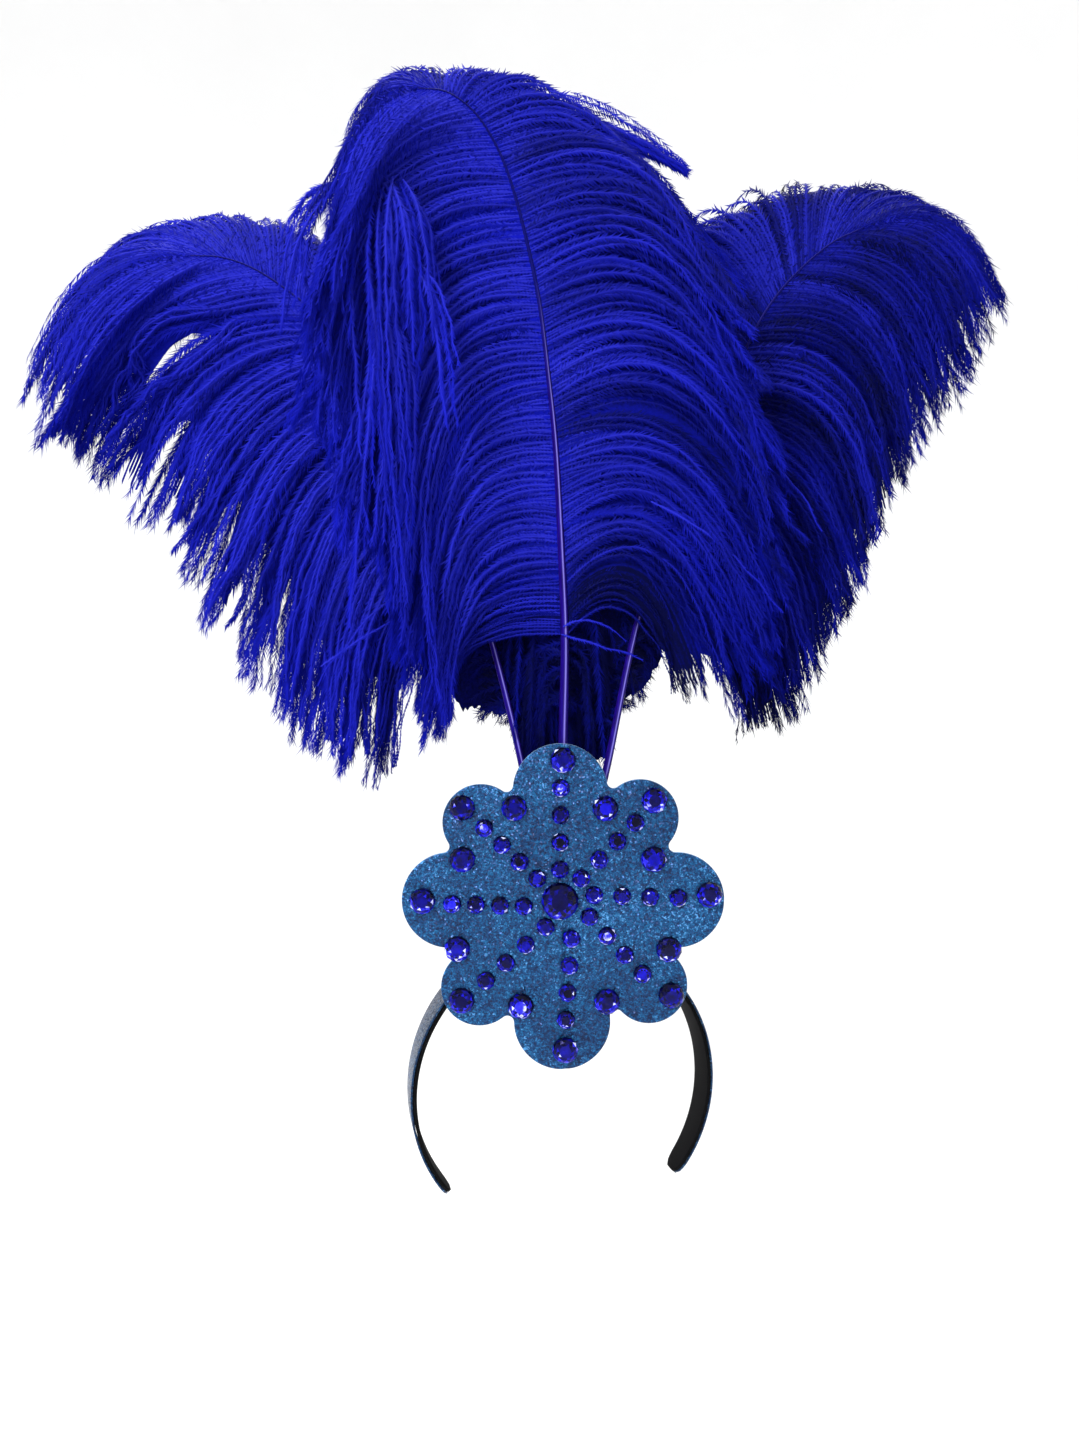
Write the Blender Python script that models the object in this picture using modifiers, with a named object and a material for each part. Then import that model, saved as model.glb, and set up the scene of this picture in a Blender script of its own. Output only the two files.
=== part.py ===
"""Feathered showgirl headdress: an arched band, a stone-studded flower and three ostrich plumes.

Metres, +Z up, the front faces -Y, +X is the viewer's right.
The origin is the underside of the band's crown, where it sits on a head.
"""

import math

import bmesh
import bpy
import numpy as np
from mathutils import Matrix, Vector

MM = 0.001
GAP = 0.3 * MM
ROOT_NAME = "rhinestone_headdress"

# Band: an arch, open at the bottom, turned a little so its left limb comes forward
BAND_INNER_RADIUS = 82.6 * MM
BAND_CORE = 2.0 * MM
BAND_COVER = 1.2 * MM
BAND_WIDTH = 26.0 * MM
BAND_END_WIDTH = 17.0 * MM
COVER_INSET = 0.4 * MM
BAND_HALF_ANGLE = math.radians(130)
BAND_TAPER_FROM = 0.45
BAND_ROUND_END = 0.95
BAND_TIP_SHARE = 0.45
BAND_STATIONS = 48
BAND_YAW = math.radians(12)
BAND_OUTER_RADIUS = BAND_INNER_RADIUS + BAND_CORE + GAP + BAND_COVER

# Flower: eight petals round its centre, cut from sheet
FLOWER_CENTRE = Vector((0.0, 0.0, 22.8 * MM))
FLOWER_FRONT = -31.5 * MM
FLOWER_SHEET = 3.0 * MM
BACKING_SHEET = 1.4 * MM
BACKING_INSET = 0.6 * MM
PETALS = [
    # angle in degrees, reach of the petal's round end in mm, its radius in mm
    (2.5, 61.0, 25.5),
    (48.5, 62.5, 20.5),
    (91.5, 61.0, 25.5),
    (135.0, 62.5, 20.5),
    (177.6, 61.0, 25.5),
    (224.5, 63.0, 20.5),
    (269.5, 62.5, 25.8),
    (317.0, 63.0, 20.5),
]
VALLEY_FILLET = 3.5 * MM
PETAL_POINTS = 9
FILLET_POINTS = 2

# Stones: flat backs, a girdle, rows of facets and a table
STONE_SIZES = {
    # kind: radius, height, sides
    "centre": (10.0 * MM, 5.2 * MM, 12),
    "tip": (7.0 * MM, 4.0 * MM, 10),
    "valley": (7.0 * MM, 4.0 * MM, 10),
    "small": (5.0 * MM, 3.0 * MM, 8),
}
GIRDLE_SHARE = 0.28
CROWN_SHARE = 0.72
CROWN_RADIUS = 0.84
TABLE_RADIUS = 0.56
CENTRE_STONE = (-1.7, 2.3)
PETAL_STONES = [
    # x and z from the flower's centre, in mm: first small stone, fourth small stone, tip stone, valley stone
    ((-1.7, 19.2), (-1.3, 62.7), (-0.1, 77.6), (-26.2, 52.0)),
    ((-13.9, 14.3), (-42.2, 41.3), (-54.0, 52.1), (-53.8, 24.5)),
    ((-21.1, -0.5), (-59.4, 0.7), (-75.3, 2.3), (-56.6, -23.3)),
    ((-9.3, -11.5), (-41.3, -40.2), (-54.4, -50.9), (-22.7, -53.8)),
    ((4.4, -17.8), (1.4, -61.1), (1.1, -77.4), (23.4, -51.4)),
    ((14.1, -6.1), (42.4, -36.6), (57.7, -48.0), (56.5, -23.5)),
    ((16.5, 5.5), (61.5, 4.1), (78.2, 5.7), (48.4, 24.7)),
    ((9.6, 14.4), (38.6, 44.2), (48.7, 56.0), (22.5, 51.8)),
]
SMALL_PER_PETAL = 4

# Mount: a block that sits on the band's crown behind the flower
MOUNT_HALF_WIDTH = 24.0 * MM
MOUNT_TOP = 28.0 * MM
MOUNT_BOTTOM = -2.0 * MM
MOUNT_BACK = 6.0 * MM
MOUNT_EDGE = 2.0 * MM
BEVEL_SEGMENTS = 2
SHARP_ANGLE = math.radians(40)
SADDLE_SEGMENTS = 96
SADDLE_LENGTH = 150 * MM

# Plumes: the quill's centre line from the mount to the tip, x, y, z in mm
QUILL_PATHS = {
    "centre": [
        (0, -23, 12),
        (0, -23, 62),
        (0, -23, 108),
        (1, -24, 164),
        (-1, -25, 216),
        (-4, -27, 269),
        (-8, -30, 307),
        (-13, -33, 346),
        (-21, -37, 382),
        (-29, -42, 408),
        (-37, -47, 424),
        (-47, -54, 435),
        (-60, -62, 440),
        (-73, -70, 437),
    ],
    "left": [
        (-9, -23, 12),
        (-16, -22, 62),
        (-24, -19, 105),
        (-41, -11, 172),
        (-62, -6, 240),
        (-97, -5, 302),
        (-135, -8, 345),
        (-153, -11, 360),
        (-170, -15, 370),
        (-186, -20, 374),
        (-201, -27, 372),
    ],
    "right": [
        (9, -23, 12),
        (16, -22, 62),
        (25, -19, 100),
        (42, -11, 178),
        (64, -6, 242),
        (90, -5, 301),
        (107, -7, 338),
        (118, -10, 356),
        (132, -14, 371),
        (148, -19, 383),
        (163, -25, 388),
    ],
}
QUILL_BASE_RADIUS = {"centre": 3.0 * MM, "left": 2.4 * MM, "right": 2.4 * MM}
QUILL_TIP_RADIUS = 1.6 * MM
QUILL_POINTS = 24
CURVE_STEPS = 24
VANE_START = {"centre": 0.335, "left": 0.37, "right": 0.37}
VANE_THICKNESS = 2.6 * MM
WELD = 0.01 * MM

# Barbs: how they leave the quill and droop, from the vane's foot (0) to its tip (1)
# share along vane, length mm, angle from the quill, turn to the front, hang x, hang y, stiffness mm
BARBS = {
    ("centre", -1): [
        (0.00, 80, 62, 5, -0.05, -0.05, 40),
        (0.15, 152, 76, 8, -0.05, -0.08, 42),
        (0.35, 188, 76, 10, -0.08, -0.10, 48),
        (0.55, 210, 74, 12, -0.08, -0.12, 55),
        (0.72, 215, 70, 14, -0.12, -0.14, 65),
        (0.86, 180, 62, 14, -0.18, -0.16, 75),
        (0.94, 130, 46, 10, -0.24, -0.16, 62),
        (1.00, 100, 0, 0, -0.35, -0.12, 42),
    ],
    ("centre", 1): [
        (0.00, 110, 50, 5, 0.20, -0.05, 42),
        (0.15, 160, 66, 8, 0.35, -0.08, 62),
        (0.35, 180, 74, 10, 0.35, -0.10, 75),
        (0.55, 178, 76, 12, 0.35, -0.12, 80),
        (0.72, 160, 80, 12, 0.34, -0.12, 74),
        (0.83, 128, 86, 4, 0.46, -0.08, 70),
        (0.90, 104, 82, -14, 0.70, 0.02, 58),
        (0.955, 92, 50, -45, 0.05, 0.05, 42),
        (1.00, 100, 0, 0, -0.35, -0.12, 42),
    ],
    ("left", -1): [
        (0.00, 122, 50, 10, -0.05, -0.05, 40),
        (0.20, 172, 60, 10, -0.15, -0.05, 50),
        (0.40, 184, 60, 10, -0.25, -0.05, 58),
        (0.60, 180, 52, 10, -0.38, -0.05, 70),
        (0.78, 174, 46, 10, -0.42, -0.05, 73),
        (0.90, 154, 36, 8, -0.48, -0.05, 66),
        (0.97, 138, 26, 10, -0.50, -0.06, 58),
        (1.00, 124, 0, 0, -0.50, -0.05, 50),
    ],
    ("left", 1): [
        (0.00, 105, 50, -30, 0.10, 0.10, 36),
        (0.20, 130, 60, -26, 0.05, 0.10, 52),
        (0.40, 142, 60, -24, 0.00, 0.15, 62),
        (0.60, 144, 60, -24, -0.05, 0.15, 66),
        (0.78, 130, 60, -26, -0.10, 0.15, 62),
        (0.90, 114, 52, -34, -0.20, 0.10, 52),
        (0.97, 112, 38, -44, -0.30, 0.06, 48),
        (1.00, 124, 0, 0, -0.50, -0.05, 50),
    ],
    ("right", 1): [
        (0.00, 105, 50, 10, 0.22, -0.05, 45),
        (0.20, 140, 60, 10, 0.18, -0.05, 55),
        (0.40, 142, 62, 10, 0.18, -0.05, 60),
        (0.60, 146, 62, 10, 0.20, -0.05, 66),
        (0.78, 144, 58, 10, 0.25, -0.05, 64),
        (0.90, 134, 44, 8, 0.28, -0.05, 54),
        (0.97, 124, 30, 10, 0.36, -0.04, 44),
        (1.00, 116, 0, 0, 0.40, -0.03, 38),
    ],
    ("right", -1): [
        (0.00, 105, 50, -30, -0.10, 0.10, 40),
        (0.20, 122, 60, -28, -0.10, 0.10, 56),
        (0.40, 130, 60, -24, -0.15, 0.15, 74),
        (0.60, 134, 62, -22, -0.20, 0.18, 86),
        (0.78, 130, 62, -24, -0.15, 0.20, 80),
        (0.90, 114, 54, -34, 0.00, 0.12, 60),
        (0.97, 108, 38, -46, 0.20, 0.06, 46),
        (1.00, 116, 0, 0, 0.40, -0.03, 38),
    ],
}
BARB_STEPS = 24
DROOP_POWER = 1.5
TANGENT_REACH = 0.008
LOCKS = 14
LOCK_CROWDING = 1.3
LOCK_LENGTHS = (1.0, 0.90, 0.97, 0.86, 0.94)
LOCK_SPLIT = 0.6
VANE_RINGS = (0.0, 0.15, 0.3, 0.45, 0.6, 0.74, 0.88)
LOCK_POINT = 0.8

FRONT = np.array([0.0, -1.0, 0.0])
COLOURS = {
    # material: red, green, blue, roughness
    "black_felt": (0.012, 0.012, 0.014, 0.8),
    "blue_glitter": (0.03, 0.16, 0.42, 0.45),
    "blue_stone": (0.01, 0.012, 0.30, 0.08),
    "blue_feather": (0.012, 0.008, 0.42, 0.6),
}


def clear_scene():
    for item in list(bpy.data.objects):
        bpy.data.objects.remove(item)


def new_collection(name):
    collection = bpy.data.collections.new(name)
    bpy.context.scene.collection.children.link(collection)
    return collection


def make_materials():
    made = {}
    for name, (red, green, blue, roughness) in COLOURS.items():
        material = bpy.data.materials.new(name)
        material.use_nodes = True
        shader = material.node_tree.nodes["Principled BSDF"]
        shader.inputs["Base Color"].default_value = (red, green, blue, 1.0)
        shader.inputs["Roughness"].default_value = roughness
        material.diffuse_color = (red, green, blue, 1.0)
        made[name] = material
    return made


def add_object(name, mesh, collection, material=None):
    item = bpy.data.objects.new(name, mesh)
    collection.objects.link(item)
    if material:
        mesh.materials.append(material)
    return item


def mesh_from(name, points, faces):
    mesh = bpy.data.meshes.new(name)
    mesh.from_pydata([tuple(p) for p in points], [], faces)
    mesh.update()
    return mesh


def make_cutter(item):
    item.hide_render = True
    item.display_type = "WIRE"


def add_solidify(item, thickness, offset):
    shell = item.modifiers.new("Wall", "SOLIDIFY")
    shell.thickness = thickness
    shell.offset = offset
    return shell


def add_boolean(item, other, operation, crosses_itself=False):
    cut = item.modifiers.new(operation.title(), "BOOLEAN")
    cut.operation = operation
    cut.object = other
    cut.solver = "EXACT"
    cut.use_self = crosses_itself


def add_bevel(item, width):
    edge = item.modifiers.new("Rounded edges", "BEVEL")
    edge.width = width
    edge.segments = BEVEL_SEGMENTS
    edge.limit_method = "ANGLE"
    edge.angle_limit = SHARP_ANGLE


def curve_to_mesh(curve_object, name):
    """A closed mesh object in the curve's place, with its caps welded on."""
    graph = bpy.context.evaluated_depsgraph_get()
    mesh = bpy.data.meshes.new_from_object(curve_object.evaluated_get(graph))
    shape = bmesh.new()
    shape.from_mesh(mesh)
    bmesh.ops.remove_doubles(shape, verts=shape.verts, dist=WELD)
    shape.to_mesh(mesh)
    shape.free()
    mesh.name = name
    collection = curve_object.users_collection[0]
    item = bpy.data.objects.new(name, mesh)
    collection.objects.link(item)
    item.matrix_world = curve_object.matrix_world
    bpy.data.objects.remove(curve_object)
    return item


def band_half_width(share, full):
    """Half of the band's width at a share (0 at the crown, 1 at an end) of its half arc."""
    taper = max(0.0, (share - BAND_TAPER_FROM) / (1 - BAND_TAPER_FROM))
    width = full + (BAND_END_WIDTH - BAND_WIDTH) * taper
    if share > BAND_ROUND_END:
        along = (share - BAND_ROUND_END) / (1 - BAND_ROUND_END)
        width *= BAND_TIP_SHARE + (1 - BAND_TIP_SHARE) * math.sqrt(1 - along * along)
    return width / 2


def band_strip(name, radius, full_width, collection, material):
    """An arched strip round the Y axis at the given radius, as an open surface."""
    points = []
    for i in range(BAND_STATIONS + 1):
        share = 2 * i / BAND_STATIONS - 1
        angle = share * BAND_HALF_ANGLE
        half = band_half_width(abs(share), full_width)
        x = radius * math.sin(angle)
        z = radius * math.cos(angle) - BAND_INNER_RADIUS
        points += [(x, -half, z), (x, half, z)]
    faces = [(2 * i, 2 * i + 1, 2 * i + 3, 2 * i + 2) for i in range(BAND_STATIONS)]
    strip = add_object(name, mesh_from(name, points, faces), collection, material)
    strip.rotation_euler.z = BAND_YAW
    return strip


def make_band(collection, materials):
    core = band_strip("headband", BAND_INNER_RADIUS, BAND_WIDTH, collection, materials["black_felt"])
    add_solidify(core, BAND_CORE, -1)
    cover_radius = BAND_INNER_RADIUS + BAND_CORE + GAP
    cover_width = BAND_WIDTH - 2 * COVER_INSET
    cover = band_strip("headband_cover", cover_radius, cover_width, collection, materials["blue_glitter"])
    add_solidify(cover, BAND_COVER, -1)


def fillet_between(first, second):
    """Centre of the small circle that touches two petals from outside, in the valley between them."""
    (xa, ya, ra), (xb, yb, rb) = first, second
    ra += VALLEY_FILLET
    rb += VALLEY_FILLET
    dx, dy = xb - xa, yb - ya
    apart = math.hypot(dx, dy)
    along = (apart * apart + ra * ra - rb * rb) / (2 * apart)
    off = math.sqrt(ra * ra - along * along)
    mid_x, mid_y = xa + dx * along / apart, ya + dy * along / apart
    choices = [
        (mid_x - dy * off / apart, mid_y + dx * off / apart),
        (mid_x + dy * off / apart, mid_y - dx * off / apart),
    ]
    return max(choices, key=lambda c: math.hypot(c[0], c[1]))


def arc_points(centre, radius, start, end, count):
    return [
        (
            centre[0] + radius * math.cos(start + (end - start) * i / count),
            centre[1] + radius * math.sin(start + (end - start) * i / count),
        )
        for i in range(count + 1)
    ]


def angle_after(angle, base):
    """The same angle, with whole turns added until it is past the base angle."""
    while angle < base:
        angle += 2 * math.pi
    return angle


def flower_outline(inset):
    """Points round the flower: a big arc for each petal and a small hollow one in each valley."""
    circles = []
    for angle, reach, radius in PETALS:
        turn = math.radians(angle)
        circles.append((reach * MM * math.cos(turn), reach * MM * math.sin(turn), radius * MM))
    count = len(circles)
    hollows = [fillet_between(circles[i], circles[(i + 1) % count]) for i in range(count)]
    outline = []
    for i, (x, y, radius) in enumerate(circles):
        before, after = hollows[i - 1], hollows[i]
        start = math.atan2(before[1] - y, before[0] - x)
        end = angle_after(math.atan2(after[1] - y, after[0] - x), start)
        outline += arc_points((x, y), radius - inset, start, end, PETAL_POINTS)
        following = circles[(i + 1) % count]
        enter = math.atan2(y - after[1], x - after[0])
        leave = math.atan2(following[1] - after[1], following[0] - after[0])
        enter = angle_after(enter, leave)
        small = arc_points(after, VALLEY_FILLET + inset, enter, leave, FILLET_POINTS)
        outline += small[1:-1]
    return outline


def make_sheet(name, inset, front, thickness, collection, material):
    """A flat flower-shaped sheet whose front face lies at the given y."""
    curve = bpy.data.curves.new(name, "CURVE")
    curve.dimensions = "2D"
    curve.fill_mode = "BOTH"
    curve.extrude = thickness / 2
    outline = flower_outline(inset)
    spline = curve.splines.new("POLY")
    spline.points.add(len(outline) - 1)
    for point, (x, y) in zip(spline.points, outline):
        point.co = (x, y, 0.0, 1.0)
    spline.use_cyclic_u = True
    drawn = bpy.data.objects.new(name + "_outline", curve)
    collection.objects.link(drawn)
    drawn.rotation_euler.x = math.pi / 2
    drawn.location = FLOWER_CENTRE + Vector((0, front + thickness / 2, 0))
    bpy.context.view_layer.update()
    sheet = curve_to_mesh(drawn, name)
    sheet.data.materials.clear()
    sheet.data.materials.append(material)
    return sheet


def make_flower(collection, materials):
    make_sheet("flower_plate", 0.0, FLOWER_FRONT, FLOWER_SHEET, collection, materials["blue_glitter"])
    backing_front = FLOWER_FRONT + FLOWER_SHEET + GAP
    make_sheet(
        "plate_backing", BACKING_INSET, backing_front, BACKING_SHEET, collection, materials["black_felt"]
    )


def stone_mesh(kind):
    """A round cut stone on the XY plane: flat back, girdle, a row or two of facets, and a table."""
    radius, height, sides = STONE_SIZES[kind]
    rows = [(radius, 0.0, 0.0), (radius, height * GIRDLE_SHARE, 0.0)]
    if kind == "centre":
        rows.append((radius * CROWN_RADIUS, height * CROWN_SHARE, 0.5))
        rows.append((radius * TABLE_RADIUS, height, 1.0))
    else:
        rows.append((radius * TABLE_RADIUS, height, 0.5))
    shape = bmesh.new()
    rings = []
    for ring_radius, z, turn in rows:
        ring = []
        for i in range(sides):
            angle = 2 * math.pi * (i + turn) / sides
            place = (ring_radius * math.cos(angle), ring_radius * math.sin(angle), z)
            ring.append(shape.verts.new(place))
        rings.append(ring)
    shape.faces.new(list(reversed(rings[0])))
    shape.faces.new(rings[-1])
    for i in range(sides):
        j = (i + 1) % sides
        shape.faces.new((rings[0][i], rings[0][j], rings[1][j], rings[1][i]))
        for low, high in zip(rings[1:], rings[2:]):
            shape.faces.new((low[i], low[j], high[i]))
            shape.faces.new((high[i], low[j], high[j]))
    mesh = bpy.data.meshes.new("stone_" + kind)
    shape.to_mesh(mesh)
    shape.free()
    return mesh


def place_stone(name, kind, meshes, place, collection):
    """Sets a stone on the flower's face, at an x and z in mm from its centre."""
    stone = bpy.data.objects.new(name, meshes[kind])
    collection.objects.link(stone)
    x, z = place
    stone.location = FLOWER_CENTRE + Vector((x * MM, FLOWER_FRONT - GAP, z * MM))
    stone.rotation_euler = (math.pi / 2, math.atan2(z, x), 0)


def between(first, last, share):
    return tuple(a + (b - a) * share for a, b in zip(first, last))


def make_stones(collection, materials):
    meshes = {kind: stone_mesh(kind) for kind in STONE_SIZES}
    for mesh in meshes.values():
        mesh.materials.append(materials["blue_stone"])
    place_stone("stone_centre", "centre", meshes, CENTRE_STONE, collection)
    for i, (first, last, tip, valley) in enumerate(PETAL_STONES):
        for k in range(SMALL_PER_PETAL):
            name = f"stone_small_{SMALL_PER_PETAL * i + k + 1}"
            place = between(first, last, k / (SMALL_PER_PETAL - 1))
            place_stone(name, "small", meshes, place, collection)
        place_stone(f"stone_tip_{i + 1}", "tip", meshes, tip, collection)
        place_stone(f"stone_valley_{i + 1}", "valley", meshes, valley, collection)


def smooth_line(points, count):
    """Points evenly spaced along a smooth curve through the given ones, in metres."""
    given = np.array(points, float) * MM
    given = np.vstack([2 * given[0] - given[1], given, 2 * given[-1] - given[-2]])
    fine = []
    for a, b, c, d in zip(given, given[1:], given[2:], given[3:]):
        t = np.linspace(0, 1, CURVE_STEPS, endpoint=False)[:, None]
        cubic = (3 * b - a - 3 * c + d) * t**3
        square = (2 * a - 5 * b + 4 * c - d) * t**2
        fine.append(0.5 * (2 * b + (c - a) * t + square + cubic))
    fine = np.vstack(fine + [given[-2][None]])
    steps = np.linalg.norm(np.diff(fine, axis=0), axis=1)
    run = np.concatenate([[0], np.cumsum(steps)])
    at = np.linspace(0, run[-1], count)
    return np.stack([np.interp(at, run, fine[:, k]) for k in range(3)], axis=1)


def unit(vector):
    return vector / np.linalg.norm(vector)


def point_on(line, share):
    at = share * (len(line) - 1)
    return np.array([np.interp(at, range(len(line)), line[:, k]) for k in range(3)])


def barb_path(name, side, line, share, length_scale=1.0):
    """The path of one barb: it leaves the quill stiffly, then bends over and hangs."""
    rows = np.array(BARBS[(name, side)], float)
    columns = [np.interp(share, rows[:, 0], rows[:, k]) for k in range(1, rows.shape[1])]
    length, angle, forward, hang_x, hang_y, stiffness = columns
    along = VANE_START[name] + (1 - VANE_START[name]) * share
    start = point_on(line, along)
    before = point_on(line, max(along - TANGENT_REACH, 0))
    after = point_on(line, min(along + TANGENT_REACH, 1))
    tangent = unit(after - before)
    outward = unit(np.cross(tangent, FRONT)) * side
    angle, forward = math.radians(angle), math.radians(forward)
    outward = math.cos(forward) * outward + math.sin(forward) * FRONT
    first = math.cos(angle) * tangent + math.sin(angle) * outward
    hang = unit(np.array([hang_x, hang_y, -1.0]))
    step = length * MM * length_scale / BARB_STEPS
    path = [start]
    for i in range(BARB_STEPS):
        done = (i + 0.5) * step / (stiffness * MM)
        droop = 1 - math.exp(-(done**DROOP_POWER))
        path.append(path[-1] + unit(first * (1 - droop) + hang * droop) * step)
    return np.array(path)


def quill_object(label, name, line, extra, collection):
    """A plume's quill as a tapered round tube, as a mesh."""
    curve = bpy.data.curves.new(label, "CURVE")
    curve.dimensions = "3D"
    curve.bevel_depth = 1.0
    curve.bevel_resolution = 2
    curve.use_fill_caps = True
    spline = curve.splines.new("POLY")
    spline.points.add(len(line) - 1)
    thick = QUILL_BASE_RADIUS[name]
    for i, place in enumerate(line):
        share = i / (len(line) - 1)
        spline.points[i].co = (*place, 1.0)
        spline.points[i].radius = thick + (QUILL_TIP_RADIUS - thick) * share + extra
    drawn = bpy.data.objects.new(label + "_line", curve)
    collection.objects.link(drawn)
    return curve_to_mesh(drawn, label)


def vane_grid(name, line):
    """An open surface through both sides' barbs, whose outer part is split into pointed locks."""
    shape = bmesh.new()
    shares = [1 - (1 - k / LOCKS) ** LOCK_CROWDING for k in range(LOCKS + 1)]
    spine = [shape.verts.new(barb_path(name, 1, line, share)[0]) for share in shares]
    for side in (-1, 1):
        add_side(shape, name, side, line, shares, spine)
    bmesh.ops.remove_doubles(shape, verts=shape.verts, dist=WELD)
    bmesh.ops.recalc_face_normals(shape, faces=shape.faces)
    mesh = bpy.data.meshes.new("plume_" + name)
    shape.to_mesh(mesh)
    shape.free()
    return mesh


def add_side(shape, name, side, line, shares, spine):
    """Adds one side of a vane to the surface, lock by lock."""
    joined = [ring for ring in VANE_RINGS if ring <= LOCK_SPLIT]
    paths = [barb_path(name, side, line, share) for share in shares]
    columns = []
    for k, path in enumerate(paths):
        columns.append([spine[k]] + [shape.verts.new(point_on(path, ring)) for ring in joined[1:]])
    for k in range(LOCKS):
        scale = LOCK_LENGTHS[(k + side) % len(LOCK_LENGTHS)]
        middle = barb_path(name, side, line, (shares[k] + shares[k + 1]) / 2, scale)
        left, right = list(columns[k]), list(columns[k + 1])
        for ring in VANE_RINGS[len(joined) :]:
            close = LOCK_POINT * ((ring - LOCK_SPLIT) / (1 - LOCK_SPLIT))
            centre = point_on(middle, ring)
            for edge, path in ((left, paths[k]), (right, paths[k + 1])):
                place = point_on(path, ring) * (1 - close) + centre * close
                edge.append(shape.verts.new(place))
        tip = shape.verts.new(middle[-1])
        for j in range(len(left) - 1):
            shape.faces.new((left[j], right[j], right[j + 1], left[j + 1]))
        shape.faces.new((left[-1], right[-1], tip))


def make_plume(name, collection, cutters, material):
    line = smooth_line(QUILL_PATHS[name], QUILL_POINTS)
    quill = quill_object("quill_" + name, name, line, 0.0, cutters)
    make_cutter(quill)
    plume = add_object("plume_" + name, vane_grid(name, line), collection, material)
    add_solidify(plume, VANE_THICKNESS, 0)
    add_boolean(plume, quill, "UNION", crosses_itself=True)


def make_mount(collection, cutters, materials):
    """The block, with a saddle that fits the band's crown and a socket for each quill."""
    back = FLOWER_FRONT + FLOWER_SHEET + BACKING_SHEET + 2 * GAP
    bpy.ops.mesh.primitive_cube_add(size=1.0)
    block = bpy.context.active_object
    block.name = block.data.name = "plume_mount"
    for holder in list(block.users_collection):
        holder.objects.unlink(block)
    collection.objects.link(block)
    size = Vector((2 * MOUNT_HALF_WIDTH, MOUNT_BACK - back, MOUNT_TOP - MOUNT_BOTTOM))
    middle = Vector((0, (MOUNT_BACK + back) / 2, (MOUNT_TOP + MOUNT_BOTTOM) / 2))
    block.data.transform(Matrix.LocRotScale(middle, None, size))
    block.data.materials.append(materials["black_felt"])
    add_bevel(block, MOUNT_EDGE)
    bpy.ops.mesh.primitive_cylinder_add(
        vertices=SADDLE_SEGMENTS,
        radius=(BAND_OUTER_RADIUS + GAP) / math.cos(math.pi / SADDLE_SEGMENTS),
        depth=SADDLE_LENGTH,
        location=(0, 0, -BAND_INNER_RADIUS),
        rotation=(math.pi / 2, 0, BAND_YAW),
    )
    saddle = bpy.context.active_object
    saddle.name = "saddle_cutter"
    for holder in list(saddle.users_collection):
        holder.objects.unlink(saddle)
    cutters.objects.link(saddle)
    make_cutter(saddle)
    add_boolean(block, saddle, "DIFFERENCE")
    for name, path in QUILL_PATHS.items():
        line = smooth_line(path, QUILL_POINTS)
        line[0] -= (0, 0, GAP)
        socket = quill_object("socket_" + name, name, line, GAP, cutters)
        make_cutter(socket)
        add_boolean(block, socket, "DIFFERENCE")


def main():
    clear_scene()
    parts = new_collection(ROOT_NAME)
    cutters = new_collection("cutters")
    materials = make_materials()
    make_band(parts, materials)
    make_flower(parts, materials)
    make_stones(parts, materials)
    make_mount(parts, cutters, materials)
    for name in QUILL_PATHS:
        make_plume(name, parts, cutters, materials["blue_feather"])


main()
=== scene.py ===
"""Dresses the rhinestone headdress: plumes barb by barb, a glitter flower, cut stones and a band.

Metres, +Z up, the front faces -Y. The quills follow the frame's; the barbs are set to the photograph.
"""

import math

import bpy
import numpy as np
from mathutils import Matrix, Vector


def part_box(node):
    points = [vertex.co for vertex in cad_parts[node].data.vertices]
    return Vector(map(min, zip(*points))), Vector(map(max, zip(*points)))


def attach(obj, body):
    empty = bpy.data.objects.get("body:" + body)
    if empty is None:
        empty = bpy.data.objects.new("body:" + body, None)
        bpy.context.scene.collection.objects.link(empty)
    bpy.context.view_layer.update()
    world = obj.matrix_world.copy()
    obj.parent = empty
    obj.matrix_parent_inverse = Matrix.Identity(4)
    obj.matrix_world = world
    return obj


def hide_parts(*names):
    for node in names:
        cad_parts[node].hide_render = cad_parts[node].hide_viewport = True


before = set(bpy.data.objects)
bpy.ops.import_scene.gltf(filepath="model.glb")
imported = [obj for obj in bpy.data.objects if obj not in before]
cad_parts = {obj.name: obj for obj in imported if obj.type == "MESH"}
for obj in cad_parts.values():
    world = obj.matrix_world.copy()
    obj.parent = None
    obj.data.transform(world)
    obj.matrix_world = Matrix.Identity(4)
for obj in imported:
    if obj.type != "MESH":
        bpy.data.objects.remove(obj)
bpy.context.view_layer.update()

MM = 0.001
FRONT = np.array([0.0, -1.0, 0.0])

# Camera: the photograph's place, level, 1080 pixels of focal length in a frame 1440 pixels high
CAMERA_PLACE = (-12.4 * MM, -609.0 * MM, 121.8 * MM)
FRAME_HEIGHT, FOCAL_PIXELS = 1440, 1080
SENSOR_HEIGHT = 24.0

# Stage: a pale floor that curves up into a wall all round
FLOOR_HEIGHT = -0.30
FLOOR_FLAT_RADIUS = 1.6
FLOOR_WALL_RADIUS = 2.8
FLOOR_WALL_TOP = 3.0
FLOOR_SIDES = 96

# Lights: place, aim, size in metres, power in watts
LIGHTS = {
    "key": ((-0.7, -1.15, 1.05), (-0.05, 0.0, 0.25), 0.4, 30.0),
    "top": ((0.1, 0.5, 1.9), (0.0, 0.0, 0.2), 1.4, 14.0),
}

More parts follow.
